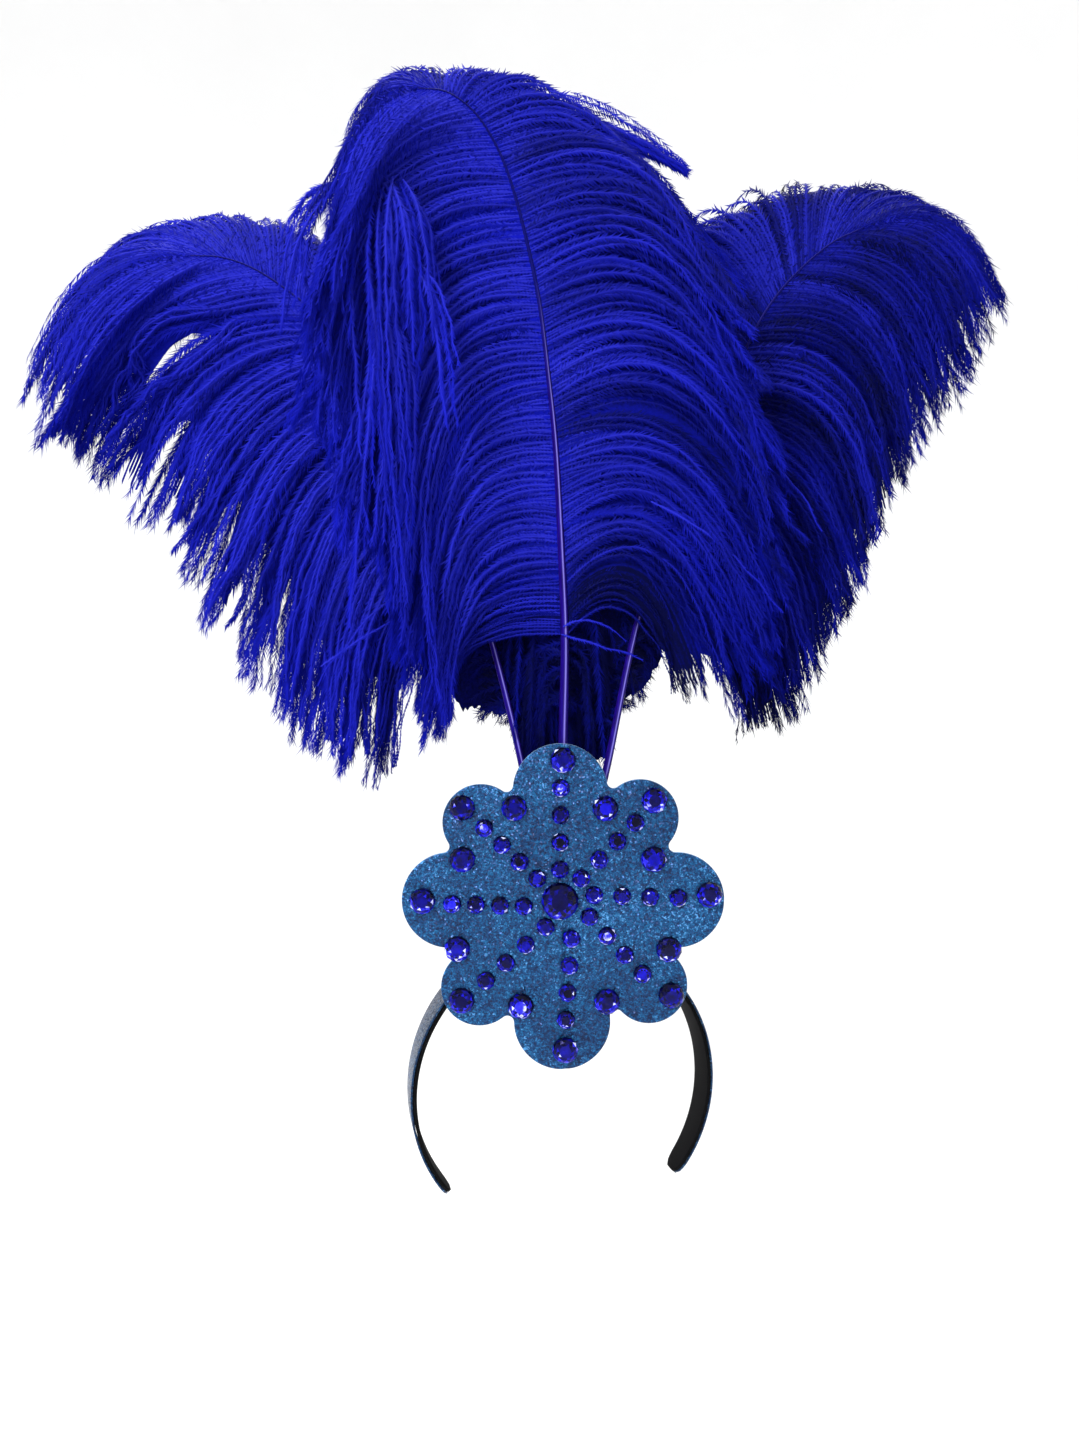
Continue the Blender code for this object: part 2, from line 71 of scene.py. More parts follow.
# Plumes: the quill's centre line from the mount to the tip, x, y, z in mm
QUILL_PATHS = {
    "centre": [
        (0, -23, 12), (0, -23, 62), (0, -23, 108), (1, -24, 164), (-1, -25, 216),
        (-4, -27, 269), (-8, -30, 307), (-13, -33, 346), (-21, -37, 382), (-29, -42, 408),
        (-37, -47, 424), (-47, -54, 435), (-60, -62, 440), (-73, -70, 437),
    ],
    "left": [
        (-9, -23, 12), (-16, -22, 62), (-24, -19, 105), (-41, -11, 172), (-62, -6, 240),
        (-97, -5, 302), (-135, -8, 345), (-153, -11, 360), (-170, -15, 370), (-186, -20, 374),
        (-201, -27, 372),
    ],
    "right": [
        (9, -23, 12), (16, -22, 62), (25, -19, 100), (42, -11, 178), (64, -6, 242),
        (90, -5, 301), (107, -7, 338), (118, -10, 356), (132, -14, 371), (148, -19, 383),
        (163, -25, 388),
    ],
}
QUILL_BASE_RADIUS = {"centre": 3.0 * MM, "left": 2.2 * MM, "right": 2.4 * MM}
QUILL_VANE_RADIUS = {"centre": 2.3 * MM, "left": 1.7 * MM, "right": 1.8 * MM}
QUILL_TIP_RADIUS = 0.4 * MM
QUILL_POINTS = 121
QUILL_SIDES = 24
# a pale stripe runs along each quill, a little to the left of its front: a painted highlight, where the key
# light's gleam would lie
HIGHLIGHT_TURN = math.radians(15)
HIGHLIGHT_WIDTH = math.radians(9)
CURVE_STEPS = 24
VANE_START = {"centre": 0.335, "left": 0.37, "right": 0.37}

# Barbs: how they leave the quill and droop, from the vane's foot (0) to its tip (1), two rows a line:
# share along the vane, length in mm, angle from the quill, turn to the front, hang x and y, stiffness in mm
BARBS = {
    ("centre", -1): [
        (0.00, 66, 84, 5, -0.05, -0.05, 72), (0.08, 96, 86, 8, -0.05, -0.08, 62),
        (0.16, 152, 86, 8, -0.05, -0.08, 54), (0.35, 188, 89, 10, -0.08, -0.10, 54),
        (0.55, 206, 90, 12, -0.08, -0.12, 62), (0.72, 208, 84, 14, -0.12, -0.14, 72),
        (0.86, 176, 70, 14, -0.18, -0.16, 80), (0.94, 130, 52, 10, -0.24, -0.16, 56),
        (1.00, 98, 8, 0, -0.32, -0.12, 34),
    ],
    ("centre", 1): [
        (0.00, 104, 36, 5, 0.30, -0.05, 42), (0.06, 124, 44, 8, 0.34, -0.08, 48),
        (0.16, 160, 62, 8, 0.35, -0.08, 62), (0.35, 180, 74, 10, 0.35, -0.10, 75),
        (0.55, 178, 76, 12, 0.35, -0.12, 80), (0.72, 160, 86, 12, 0.34, -0.12, 73),
        (0.83, 142, 98, 4, 0.50, -0.08, 66), (0.90, 112, 106, -6, 0.62, 0.08, 50),
        (0.955, 70, 86, -26, 0.34, 0.20, 26), (1.00, 98, -8, 0, -0.32, -0.12, 34),
    ],
    ("left", -1): [
        (0.00, 122, 50, 10, -0.05, -0.05, 40), (0.20, 172, 60, 10, -0.15, -0.05, 50),
        (0.40, 184, 60, 10, -0.25, -0.05, 58), (0.48, 180, 58, 10, -0.25, -0.05, 66),
        (0.55, 152, 56, 10, -0.25, -0.05, 74), (0.66, 154, 52, 10, -0.26, -0.05, 82),
        (0.78, 160, 48, 10, -0.28, -0.05, 86), (0.90, 152, 40, 12, -0.32, -0.06, 80),
        (0.97, 138, 30, 14, -0.36, -0.08, 70), (1.00, 126, 6, 10, -0.38, -0.08, 62),
    ],
    ("left", 1): [
        (0.00, 125, 50, -26, 0.10, 0.06, 46), (0.20, 160, 54, -20, 0.05, 0.04, 74),
        (0.40, 164, 53, -17, 0.00, 0.05, 80), (0.60, 152, 56, -17, -0.05, 0.06, 74),
        (0.78, 128, 60, -20, -0.10, 0.08, 64), (0.90, 116, 50, -26, -0.22, 0.06, 56),
        (0.97, 118, 30, -24, -0.32, 0.00, 60), (1.00, 126, -6, -10, -0.38, -0.08, 62),
    ],
    ("right", 1): [
        (0.00, 105, 50, 10, 0.22, -0.05, 45), (0.20, 134, 60, 10, 0.18, -0.05, 55),
        (0.40, 136, 62, 10, 0.17, -0.05, 59), (0.60, 134, 62, 10, 0.16, -0.05, 61),
        (0.78, 126, 58, 10, 0.17, -0.05, 57), (0.90, 116, 42, 8, 0.22, -0.05, 51),
        (0.97, 103, 26, 10, 0.28, -0.04, 47), (1.00, 98, 4, 0, 0.33, -0.03, 46),
    ],
    ("right", -1): [
        (0.00, 105, 50, -30, -0.10, 0.10, 40), (0.20, 122, 60, -28, -0.10, 0.10, 56),
        (0.40, 134, 60, -21, -0.15, 0.10, 78), (0.60, 136, 62, -17, -0.20, 0.10, 92),
        (0.78, 130, 60, -17, -0.10, 0.10, 87), (0.90, 116, 46, -26, 0.06, 0.08, 68),
        (0.97, 104, 26, -26, 0.24, 0.04, 53), (1.00, 98, -4, 0, 0.33, -0.03, 46),
    ],
}
BARB_STEPS = 24
DROOP_POWER = 1.5
TANGENT_REACH = 0.008
TIP_CROWDING = 1.2
LOCKS = 14
LOCK_CROWDING = 1.3
LOCK_LENGTHS = (1.0, 0.90, 0.97, 0.86, 0.94)
# for each side of a vane: how far a lock's barbs draw together, how uneven the locks' lengths are,
# how pale the dye is, lowered on the right-hand sides as painted shade, and how tousled the barbs are
SIDES = {
    ("centre", -1): (0.45, 0.5, -0.06, 1.0),
    ("centre", 1): (0.35, 0.42, -0.40, 1.25),
    ("left", -1): (0.5, 0.6, -0.06, 1.0),
    ("left", 1): (0.3, 0.4, -0.25, 0.25),
    ("right", -1): (0.15, 0.25, -0.64, 0.2),
    ("right", 1): (0.2, 0.25, -0.68, 0.8),
}
# painted shade: the barbs are darker towards the foot of each vane
FOOT_PAINTED_SHADE = 0.5
FOOT_PAINTED_SHADE_END = 0.2
LOCK_FROM = 0.45
WISP_PULL = 0.6
BACK_WISP_PULL = 0.35
WISP_FROM = 0.5
WISP_BARBS = (3, 9)
# spreads of the random draws: lengths and stiffness as shares, angles in degrees
WISP_SPREAD = {"length": 0.035, "tone": 0.12, "angle": 3.2, "curl": 0.16}
BARB_SPREAD = {"length": 0.03, "tone": 0.10, "angle": 1.6, "forward": 3.0, "stiffness": 0.05, "curl": 0.08}
# tables over the share along the vane: how tousled the barbs still are, how long the barbules are
TOUSLE_ALONG = ([0, 0.7, 0.85, 1], [1, 1, 0.45, 0.25])
FRINGE_ALONG = ([0, 0.14], [0.4, 1])
# tables over the share out along a barb: the barbules' length, and their angle from the barb in radians
BARBULE_REACH = ([0, 0.05, 0.25, 0.8, 1.0], [0.3, 0.75, 1.0, 1.0, 0.85])
BARBULE_ANGLE = ([0, 0.35, 1], [0.85, 0.6, 0.36])
BARBULE_SAG = 0.12

# Slits where the barbs part and the ground shows: share along the vane, share out, half of the length, mm
PARTINGS = {("left", -1): [(0.762, 0.52, 0.14, 16.0), (0.775, 0.78, 0.06, 5.0), (0.44, 0.93, 0.07, 6.0)]}
PARTING_REACH = 0.035

# The soft down behind the bare quills, with its lower edge as x and z in mm: barbs over a thin sheet, both
# made dark as painted shade
DOWN_BARBS = 420
DOWN_SHORTEST = 22.0
DOWN_FRINGE = 3
# painted shade: how dark the down's barbs and its sheet are
DOWN_SHADE_TONE, DOWN_SHADE_SHEET_TONE = -0.5, -0.6
DOWN_TOP = 214.0
DOWN_COLUMNS, DOWN_ROWS = 96, 10
DOWN_EDGE = [(-66, 134), (-56, 126), (-29, 122), (-24, 97), (26, 97), (31, 130), (46, 136), (56, 154)]

# The curled end of the middle plume, with the bundle that hangs from it
BUNDLE_PLACE = (-96.0, -75.0, 389.0)
BUNDLE_BARBS = 150
BUNDLE_TURNS = (-50.0, 40.0)
BUNDLE_WISP = 5
BUNDLE_TONE = 0.52

# Loose barbs that have slipped out of the vanes: start, first way, hang, in mm, and length, stiffness in mm
LOOSE_BARBS = [
    ((-1, -27, 168), (0.85, -0.1, -0.25), (1.0, 0.0, -0.35), 46, 60),
    ((0, -27, 172), (0.6, -0.1, 0.35), (0.9, 0.0, -0.8), 38, 18),
    ((-128, -40, 150), (0.75, -0.2, 0.5), (0.9, 0.0, 0.4), 52, 60),
    ((-60, -48, 205), (-0.9, -0.1, -0.5), (-0.5, 0.0, -0.9), 95, 60),
    ((-112, -52, 300), (-0.3, -0.1, -1.0), (0.4, 0.0, -1.0), 42, 30),
    ((-100, -56, 330), (-0.7, -0.1, -0.8), (-0.1, 0.0, -1.0), 60, 30),
    ((60, -52, 300), (0.7, -0.1, -0.5), (0.5, 0.0, -1.0), 110, 70),
    ((45, -50, 235), (0.8, -0.1, -0.4), (0.6, 0.0, -1.0), 90, 60),
]
# A lock that stands off the middle plume's right shoulder
STRAY_LOCK = ((0, -44, 438), (1.0, 0.0, -0.20), (1.0, 0.0, -0.80), 71, 46)
STRAY_LOCK_BARBS = 30
STRAY_LOCK_GATHER = 0.8
STRAY_LOCK_TONE = 0.42
LOOSE_TONE = 0.55

# Each side of a vane is grown in layers, from the back one to the front one
LAYERS = [
    # barb spacing, length scale, turn to the front, shift of the locks, barbule spacing and length, seed
    (2.6, 1.02, -9.0, 0.5, 1.4, 7.0, 11),
    (2.0, 1.00, -1.0, 0.0, 1.3, 6.5, 23),
    (1.35, 0.96, 4.0, 0.25, 1.9, 4.8, 37),
]
# changes along a vane that wander slowly: sizes as shares, or in degrees
DRIFT = {"tone": 0.18, "angle": 6.0, "forward": 6.0, "stiffness": 0.10}
BARB_JITTER = 0.35
BARB_WIDTH, BARB_END_WIDTH = 0.42 * MM, 0.25 * MM
BARB_SEAT = 0.7
BARB_WAVE, BARB_WAVE_LENGTH = (0.3, 1.0), (18, 34)
BARB_ROLL, BARB_TWIST = (0.15, 0.18), 0.3
FLATNESS = 0.9
FEWEST_BARBULES = 14
THIN_SHAFT = 0.45
# normals fan out over a shaft and its barbules
SHAFT_FAN, BARBULE_FAN, BARBULE_ROUGH = 0.5, 0.35, 0.16
BARBULE_SPREAD, BARBULE_FOLD = 0.12, (-0.35, 0.28)
# random scales of the shafts' widths and of the barbules' lengths, for a barb and for each barbule
WIDTH_SCALE, FRINGE_SCALE, BARBULE_SCALE = (0.8, 1.15), (0.85, 1.15), (0.6, 1.2)
BACK_TONE = -0.06
WEB_SPACING = 1.5 * MM
WEB_REACH = 0.99
WEB_RIDGE = 0.45 * MM
WEB_TONE = 0.42
WEB_TIP_REACH = {("centre", 1): 0.45, ("left", 1): 0.65, ("right", -1): 0.65}
WEB_PLAIN_TIP_REACH = 0.92
WEB_LENGTHS = (0.88, 1.04)
# share out at which the sheet splits between locks, for even and uneven ones, and between its ribs
WEB_SPLIT, WEB_UNEVEN_SPLIT, WEB_STRANDS = 0.9, 0.68, 0.88

# Flower
FLOWER_CENTRE = (0.0, 0.0, 22.8 * MM)
FLOWER_FRONT = -31.5 * MM
PETALS = [
    # angle in degrees, reach of the petal's round end in mm, its radius in mm
    (2.5, 61.0, 25.5),
    (48.5, 62.5, 20.5),
    (91.5, 61.0, 25.5),
    (135.0, 62.5, 20.5),
    (177.6, 61.0, 25.5),
    (224.5, 63.0, 20.5),
    (269.5, 62.5, 25.8),
    (317.0, 63.0, 20.5),
]
VALLEY_FILLET = 3.5
PETAL_POINTS = 36
FILLET_POINTS = 8
PLATE_RINGS = 44
PLATE_THICKNESS = 3.0 * MM
PLATE_SOFT = 0.7 * MM
PLATE_BEVEL = 0.3 * MM

# Stones: radius, height, sides
STONE_SIZES = {
    "centre": (10.0 * MM, 5.2 * MM, 16),
    "petal": (7.0 * MM, 4.0 * MM, 12),
    "small": (5.0 * MM, 3.0 * MM, 10),
}
# painted shade on each kind of stone, deepest on the middle one
STONE_PAINTED_SHADE = {"centre": 0.28, "petal": 0.05, "small": 0.05}
STONE_SINK = 0.2 * MM
# painted spark: one facet of each smaller stone is set near white
PAINTED_SPARK_TONE = 1.4

# Band
BAND_INNER_RADIUS = 82.6 * MM
BAND_CORE = 2.0 * MM
BAND_GAP = 0.3 * MM
BAND_COVER = 1.2 * MM
BAND_WIDTH = 26.0 * MM
BAND_END_WIDTH_OF = 17.0 * MM
COVER_INSET = 0.4 * MM
BAND_HALF_ANGLE = math.radians(130)
BAND_TAPER_FROM = 0.45
BAND_ROUND_END = 0.95
BAND_TIP_SHARE = 0.45
BAND_STATIONS = 144
BAND_CORNER_TURNS = (0, 30, 60, 90)
BAND_SOFT, COVER_SOFT = 0.6 * MM, 0.4 * MM
BAND_SHARP = math.radians(50)
BAND_YAW = math.radians(12)

# Colours along the ramps of tone
FEATHER_BLUES = [
    (0.00, (0.0008, 0.0012, 0.020)),
    (0.20, (0.0010, 0.0020, 0.09)),
    (0.50, (0.0022, 0.0042, 0.225)),
    (0.90, (0.0060, 0.0090, 0.37)),
]
# the shafts' colour: partly their own paler violet, partly a painted highlight
SHAFT_PALE_AND_HIGHLIGHT = (0.022, 0.026, 0.42)
QUILL_VIOLETS = [(0.3, (0.005, 0.001, 0.07)), (0.55, (0.008, 0.002, 0.13)), (0.8, (0.015, 0.004, 0.22))]
FOAM_BLUES = [(0.0, (0.10, 0.22, 0.42)), (0.5, (0.22, 0.38, 0.60)), (1.0, (0.35, 0.5, 0.7))]
# the stones' cobalt from painted shade to painted light, ending in the painted spark's near white
STONE_PAINTED_LIGHT_BLUES = [
    (0.10, (0.0005, 0.0005, 0.006)),
    (0.38, (0.001, 0.001, 0.045)),
    (0.60, (0.002, 0.002, 0.20)),
    (0.80, (0.006, 0.005, 0.48)),
    (0.93, (0.03, 0.03, 0.80)),
    (1.00, (0.60, 0.64, 1.00)),
]
PLATE_GLITTER = ((0.0004, 0.008, 0.044), (0.001, 0.038, 0.135), (0.007, 0.115, 0.29))
# the band's glitter is the flower's glitter made darker as painted shade
BAND_SHADED_GLITTER = ((0.0005, 0.005, 0.025), (0.001, 0.018, 0.065), (0.006, 0.06, 0.15))
# colour, roughness, scale of the grain, its depth in metres, sheen
BAND_BLACK = ((0.0012, 0.0012, 0.0015), 0.85, 900.0, 0.00005, 0.0)
FELT_BLACK = ((0.004, 0.004, 0.005), 0.9, 1400.0, 0.0003, 0.1)


def unit(vectors):
    return vectors / np.maximum(np.linalg.norm(vectors, axis=-1, keepdims=True), 1e-9)


def smoothstep(low, high, value):
    t = np.clip((value - low) / (high - low), 0.0, 1.0)
    return t * t * (3 - 2 * t)


def link_object(name, data):
    item = bpy.data.objects.new(name, data)
    bpy.context.scene.collection.objects.link(item)
    return item


def circle(radius, sides, height, shift=0.0):
    """Points of a level circle round the origin, turned on by a share of a side."""
    turns = [2 * math.pi * (k + shift) / sides for k in range(sides)]
    return [(radius * math.cos(turn), radius * math.sin(turn), height) for turn in turns]


def ring_quads(low, high, count, turned=False):
    """Quads between two rings of points, whose first ones are given; turned ones face the other way."""
    pairs = [(k, (k + 1) % count) for k in range(count)]
    if turned:
        return [(low + k, low + n, high + n, high + k) for k, n in pairs]
    return [(low + k, high + k, high + n, low + n) for k, n in pairs]


def fan(tip, low, count, turned=False):
    """Triangles between one point and a ring of points, whose first one is given."""
    pairs = [(low + k, low + (k + 1) % count) for k in range(count)]
    return [(tip, b, a) if turned else (tip, a, b) for a, b in pairs]


def turn_to_normals(points, faces, normals):
    """Turns over the triangles that face away from the normals of their points."""
    corner = points[faces]
    flat = np.cross(corner[:, 1] - corner[:, 0], corner[:, 2] - corner[:, 0])
    away = (flat * normals[faces].sum(1)).sum(1) < 0
    faces[away] = faces[away][:, ::-1]


def add_piece(name, points, faces, material, attributes=None, smooth=True, normals=None):
    """A mesh object that rides on the part, with its material and any per-point numbers."""
    mesh = bpy.data.meshes.new(name)
    points = np.asarray(points, np.float32)
    mesh.vertices.add(len(points))
    mesh.vertices.foreach_set("co", points.ravel())
    if isinstance(faces, list):
        sizes = np.array([len(face) for face in faces], np.int32)
        corners = np.concatenate([np.asarray(face, np.int32) for face in faces])
    else:
        sizes = np.full(len(faces), faces.shape[1], np.int32)
        corners = np.asarray(faces, np.int32).ravel()
    mesh.loops.add(len(corners))
    mesh.loops.foreach_set("vertex_index", corners)
    mesh.polygons.add(len(sizes))
    starts = np.concatenate([[0], np.cumsum(sizes)[:-1]]).astype(np.int32)
    mesh.polygons.foreach_set("loop_start", starts)
    mesh.update(calc_edges=True)
    mesh.polygons.foreach_set("use_smooth", np.full(len(sizes), smooth))
    for key, (domain, values) in (attributes or {}).items():
        layer = mesh.attributes.new(key, "FLOAT", domain)
        layer.data.foreach_set("value", np.asarray(values, np.float32))
    if normals is not None:
        mesh.normals_split_custom_set_from_vertices(normals)
    mesh.materials.append(material)
    item = link_object(name, mesh)
    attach(item, "root")
    return item


# Materials


def new_material(name):
    material = bpy.data.materials.new(name)
    material.use_nodes = True
    return material, material.node_tree


def plug(tree, socket, value):
    """Links another node's output to a socket, or sets the socket's own value."""
    if isinstance(value, bpy.types.NodeSocket):
        tree.links.new(value, socket)
    else:
        socket.default_value = value


def set_inputs(tree, node, inputs):
    for key, value in inputs.items():
        plug(tree, node.inputs[key], value)


def set_look(material, look):
    tree = material.node_tree
    set_inputs(tree, tree.nodes["Principled BSDF"], look)
    return material


def add_node(tree, kind, inputs=None, **settings):
    node = tree.nodes.new(kind)
    for key, value in settings.items():
        setattr(node, key, value)
    set_inputs(tree, node, inputs or {})
    return node


def math_node(tree, operation, *values, clamp=False):
    node = add_node(tree, "ShaderNodeMath", operation=operation, use_clamp=clamp)
    for socket, value in zip(node.inputs, values):
        plug(tree, socket, value)
    return node.outputs[0]


def plus(tree, first, second, clamp=False):
    return math_node(tree, "ADD", first, second, clamp=clamp)


def times(tree, first, second):
    return math_node(tree, "MULTIPLY", first, second)


def swing(tree, value, size):
    """A number from 0 to 1 made to swing about zero."""
    return times(tree, math_node(tree, "SUBTRACT", value, 0.5), size)


def ramp_node(tree, value, stops):
    node = add_node(tree, "ShaderNodeValToRGB", {"Fac": value})
    ramp = node.color_ramp
    while len(ramp.elements) < len(stops):
        ramp.elements.new(0.5)
    for element, (position, colour) in zip(ramp.elements, stops):
        element.position = position
        element.color = (*colour, 1.0)
    return node.outputs["Color"]


def mix_colours(tree, share, first, second):
    node = add_node(tree, "ShaderNodeMix", data_type="RGBA")
    for index, value in ((0, share), (6, first), (7, second)):
        plug(tree, node.inputs[index], (*value, 1.0) if isinstance(value, tuple) else value)
    return node.outputs[2]


def object_place(tree):
    return add_node(tree, "ShaderNodeTexCoord").outputs["Object"]


def attribute(tree, name):
    return add_node(tree, "ShaderNodeAttribute", attribute_name=name).outputs["Fac"]


def noise(tree, place, scale, detail=2.0):
    inputs = {"Vector": place, "Scale": scale, "Detail": detail}
    return add_node(tree, "ShaderNodeTexNoise", inputs).outputs["Fac"]


def cells(tree, place, scale):
    return add_node(tree, "ShaderNodeTexVoronoi", {"Vector": place, "Scale": scale}).outputs


def bump(tree, height, strength, distance):
    inputs = {"Height": height, "Strength": strength, "Distance": distance}
    return add_node(tree, "ShaderNodeBump", inputs).outputs[0]


def feather_material():
    """Dyed ostrich: blue barbules, lighter violet shafts whose paleness is partly a painted highlight, and a
    tone that differs from barb to barb and carries painted shade.
    """
    material, tree = new_material("feather_blue")
    shaft, along, tone_and_shade = (attribute(tree, name) for name in ("shaft", "along", "tone_and_shade"))
    place = object_place(tree)
    broad, fine = noise(tree, place, 28.0), noise(tree, place, 700.0, 1.0)
    tone = math_node(tree, "MULTIPLY_ADD", tone_and_shade, 0.5, times(tree, broad, 0.35))
    tone = plus(tree, tone, times(tree, fine, 0.3))
    blue = ramp_node(tree, tone, FEATHER_BLUES)
    # painted highlight on the shafts, strongest near the quill and on the paler barbs
    near = math_node(tree, "SUBTRACT", 1.0, times(tree, along, 0.75))
    pale_and_highlight = times(tree, math_node(tree, "POWER", shaft, 2.0), near)
    pale = plus(tree, tone_and_shade, 0.45, clamp=True)
    pale_and_highlight = times(tree, pale_and_highlight, times(tree, pale, 0.68))
    look = {
        "Base Color": mix_colours(tree, pale_and_highlight, blue, SHAFT_PALE_AND_HIGHLIGHT),
        "Roughness": 0.5,
        "Specular IOR Level": 0.10,
        "Specular Tint": (0.15, 0.17, 1.0, 1.0),
        "Sheen Weight": 0.06,
        "Sheen Roughness": 0.4,
        "Sheen Tint": (0.05, 0.06, 1.0, 1.0),
    }
    return set_look(material, look)


def quill_material():
    """Smooth horny quill dyed violet blue, with faint streaks and a painted highlight as a pale stripe where
    it is bare.
    """
    material, tree = new_material("quill_violet")
    place = add_node(tree, "ShaderNodeMapping", {"Vector": object_place(tree), "Scale": (1.0, 1.0, 0.06)})
    streaks = noise(tree, place.outputs[0], 900.0, 3.0)
    bare = ramp_node(tree, streaks, QUILL_VIOLETS)
    span = {"Value": attribute(tree, "along"), "From Min": 0.56, "From Max": 0.74}
    covered = add_node(tree, "ShaderNodeMapRange", span).outputs[0]
    # painted highlight: a pale lavender stripe along the bare quill
    pale_and_highlight = times(tree, attribute(tree, "pale_and_highlight"), 0.9)
    bare = mix_colours(tree, pale_and_highlight, bare, (0.22, 0.19, 0.66))
    look = {
        "Base Color": mix_colours(tree, covered, bare, (0.003, 0.004, 0.09)),
        "Normal": bump(tree, streaks, 0.12, 0.0003),
        "Roughness": 0.3,
        "Specular IOR Level": 0.12,
        "Specular Tint": (0.3, 0.2, 1.0, 1.0),
    }
    return set_look(material, look)


def glitter_material(name, dark, middle, light):
    """Foam sheet under a skin of fine glitter, each fleck with its own tone and tilt; the palest flecks are
    partly the glitter's own and partly a painted sparkle.
    """
    material, tree = new_material(name)
    place = object_place(tree)
    flecks, grains = (cells(tree, place, scale)["Color"] for scale in (1500.0, 620.0))
    tone = add_node(tree, "ShaderNodeSeparateColor", {"Color": flecks}).outputs[0]
    coarse = add_node(tree, "ShaderNodeSeparateColor", {"Color": grains}).outputs[1]
    worn = noise(tree, place, 22.0, 3.0)
    tone = times(tree, tone, 0.55)
    tone = plus(tree, tone, times(tree, coarse, 0.3))
    tone = plus(tree, tone, swing(tree, worn, 0.5))
    # partly painted sparkle: the palest flecks
    pale_and_painted_sparkle = tuple(min(1.0, 2.2 * c + 0.09) for c in light)
    way = add_node(tree, "ShaderNodeNewGeometry").outputs["Normal"]
    tilt = flecks
    for operation, *others in (("SUBTRACT", (0.5,) * 3), ("MULTIPLY_ADD", (0.7,) * 3, way), ("NORMALIZE",)):
        node = add_node(tree, "ShaderNodeVectorMath", operation=operation)
        for socket, value in zip(node.inputs, (tilt, *others)):
            plug(tree, socket, value)
        tilt = node.outputs[0]
    look = {
        "Base Color": ramp_node(tree, tone, [(0.10, dark), (0.42, middle), (0.70, light), (0.84, pale_and_painted_sparkle)]),
        "Normal": tilt,
        "Metallic": 0.6,
        "Roughness": 0.34,
    }
    return set_look(material, look)


def foam_edge_material():
    """The cut side of the foam sheet, pale blue with small open cells."""
    material, tree = new_material("foam_edge")
    depth = cells(tree, object_place(tree), 2200.0)["Distance"]
    look = {
        "Base Color": ramp_node(tree, depth, FOAM_BLUES),
        "Normal": bump(tree, depth, 0.4, 0.0003),
        "Roughness": 0.75,
    }
    return set_look(material, look)


def stone_material():
    """Cut acrylic over dark foil: each facet's depth of cobalt is painted light and shade, under a hard
    gloss.
    """
    material, tree = new_material("stone_cobalt")
    swirl = swing(tree, noise(tree, object_place(tree), 260.0), 0.5)
    depth = plus(tree, attribute(tree, "facet"), swirl)
    look = {
        "Base Color": ramp_node(tree, depth, STONE_PAINTED_LIGHT_BLUES),
        "Roughness": 0.12,
        "Specular IOR Level": 0.15,
        "Specular Tint": (0.3, 0.3, 1.0, 1.0),
        "Coat Weight": 0.16,
        "Coat Roughness": 0.03,
    }
    return set_look(material, look)


def black_material(name, colour, roughness, grain, depth, sheen):
    """Black pile or plastic with a fine grain."""
    material, tree = new_material(name)
    grains = noise(tree, object_place(tree), grain, 4.0)
    light = tuple(2.2 * c for c in colour)
    look = {
        "Base Color": ramp_node(tree, grains, [(0.3, colour), (0.75, light)]),
        "Normal": bump(tree, grains, 0.5, depth),
        "Roughness": roughness,
        "Specular IOR Level": 0.08,
        "Sheen Weight": sheen,
    }
    return set_look(material, look)


def stage_material():
    material, tree = new_material("pale_floor")
    pale = ramp_node(tree, noise(tree, object_place(tree), 3.0), [(0.2, (0.88,) * 3), (0.8, (0.90,) * 3)])
    return set_look(material, {"Base Color": pale, "Roughness": 0.8})


# Tubes and lines


def run_along(line):
    """How far along a line each of its points lies."""
    return np.concatenate([[0], np.cumsum(np.linalg.norm(np.diff(line, axis=0), axis=1))])


def points_at(places, run, points):
    """Points between the given ones, at any places along their run."""
    return np.stack([np.interp(places, run, points[:, k]) for k in range(3)], axis=-1)


def smooth_line(points, count):
    """Points evenly spaced along a smooth curve through the given ones, in metres."""
    given = np.array(points, float) * MM
    given = np.vstack([2 * given[0] - given[1], given, 2 * given[-1] - given[-2]])
    fine = []
    for a, b, c, d in zip(given, given[1:], given[2:], given[3:]):
        t = np.linspace(0, 1, CURVE_STEPS, endpoint=False)[:, None]
        cubic = (3 * b - a - 3 * c + d) * t**3
        square = (2 * a - 5 * b + 4 * c - d) * t**2
        fine.append(0.5 * (2 * b + (c - a) * t + square + cubic))
    fine = np.vstack(fine + [given[-2][None]])
    run = run_along(fine)
    return points_at(np.linspace(0, run[-1], count), run, fine)


def line_at(line, shares):
    return points_at(np.clip(shares, 0, 1) * (len(line) - 1), np.arange(len(line)), line)


def tube_mesh(line, radii, sides):
    """Points and quads of a round tube along a line, closed by a cone at each end."""
    along = unit(np.gradient(line, axis=0))
    side_way = unit(np.cross(along, FRONT))
    third = np.cross(along, side_way)
    turns = 2 * math.pi * np.arange(sides) / sides
    ways = np.cos(turns)[:, None] * side_way[:, None] + np.sin(turns)[:, None] * third[:, None]
    rings = line[:, None] + radii[:, None, None] * ways
    points = np.vstack([rings.reshape(-1, 3), line[:1], line[-1:]])
    faces = []
    for i in range(len(line) - 1):
        faces += ring_quads(i * sides, (i + 1) * sides, sides, turned=True)
    faces += fan(len(points) - 2, 0, sides, turned=True)
    faces += fan(len(points) - 1, (len(line) - 1) * sides, sides)
    return points, faces


# Plumes


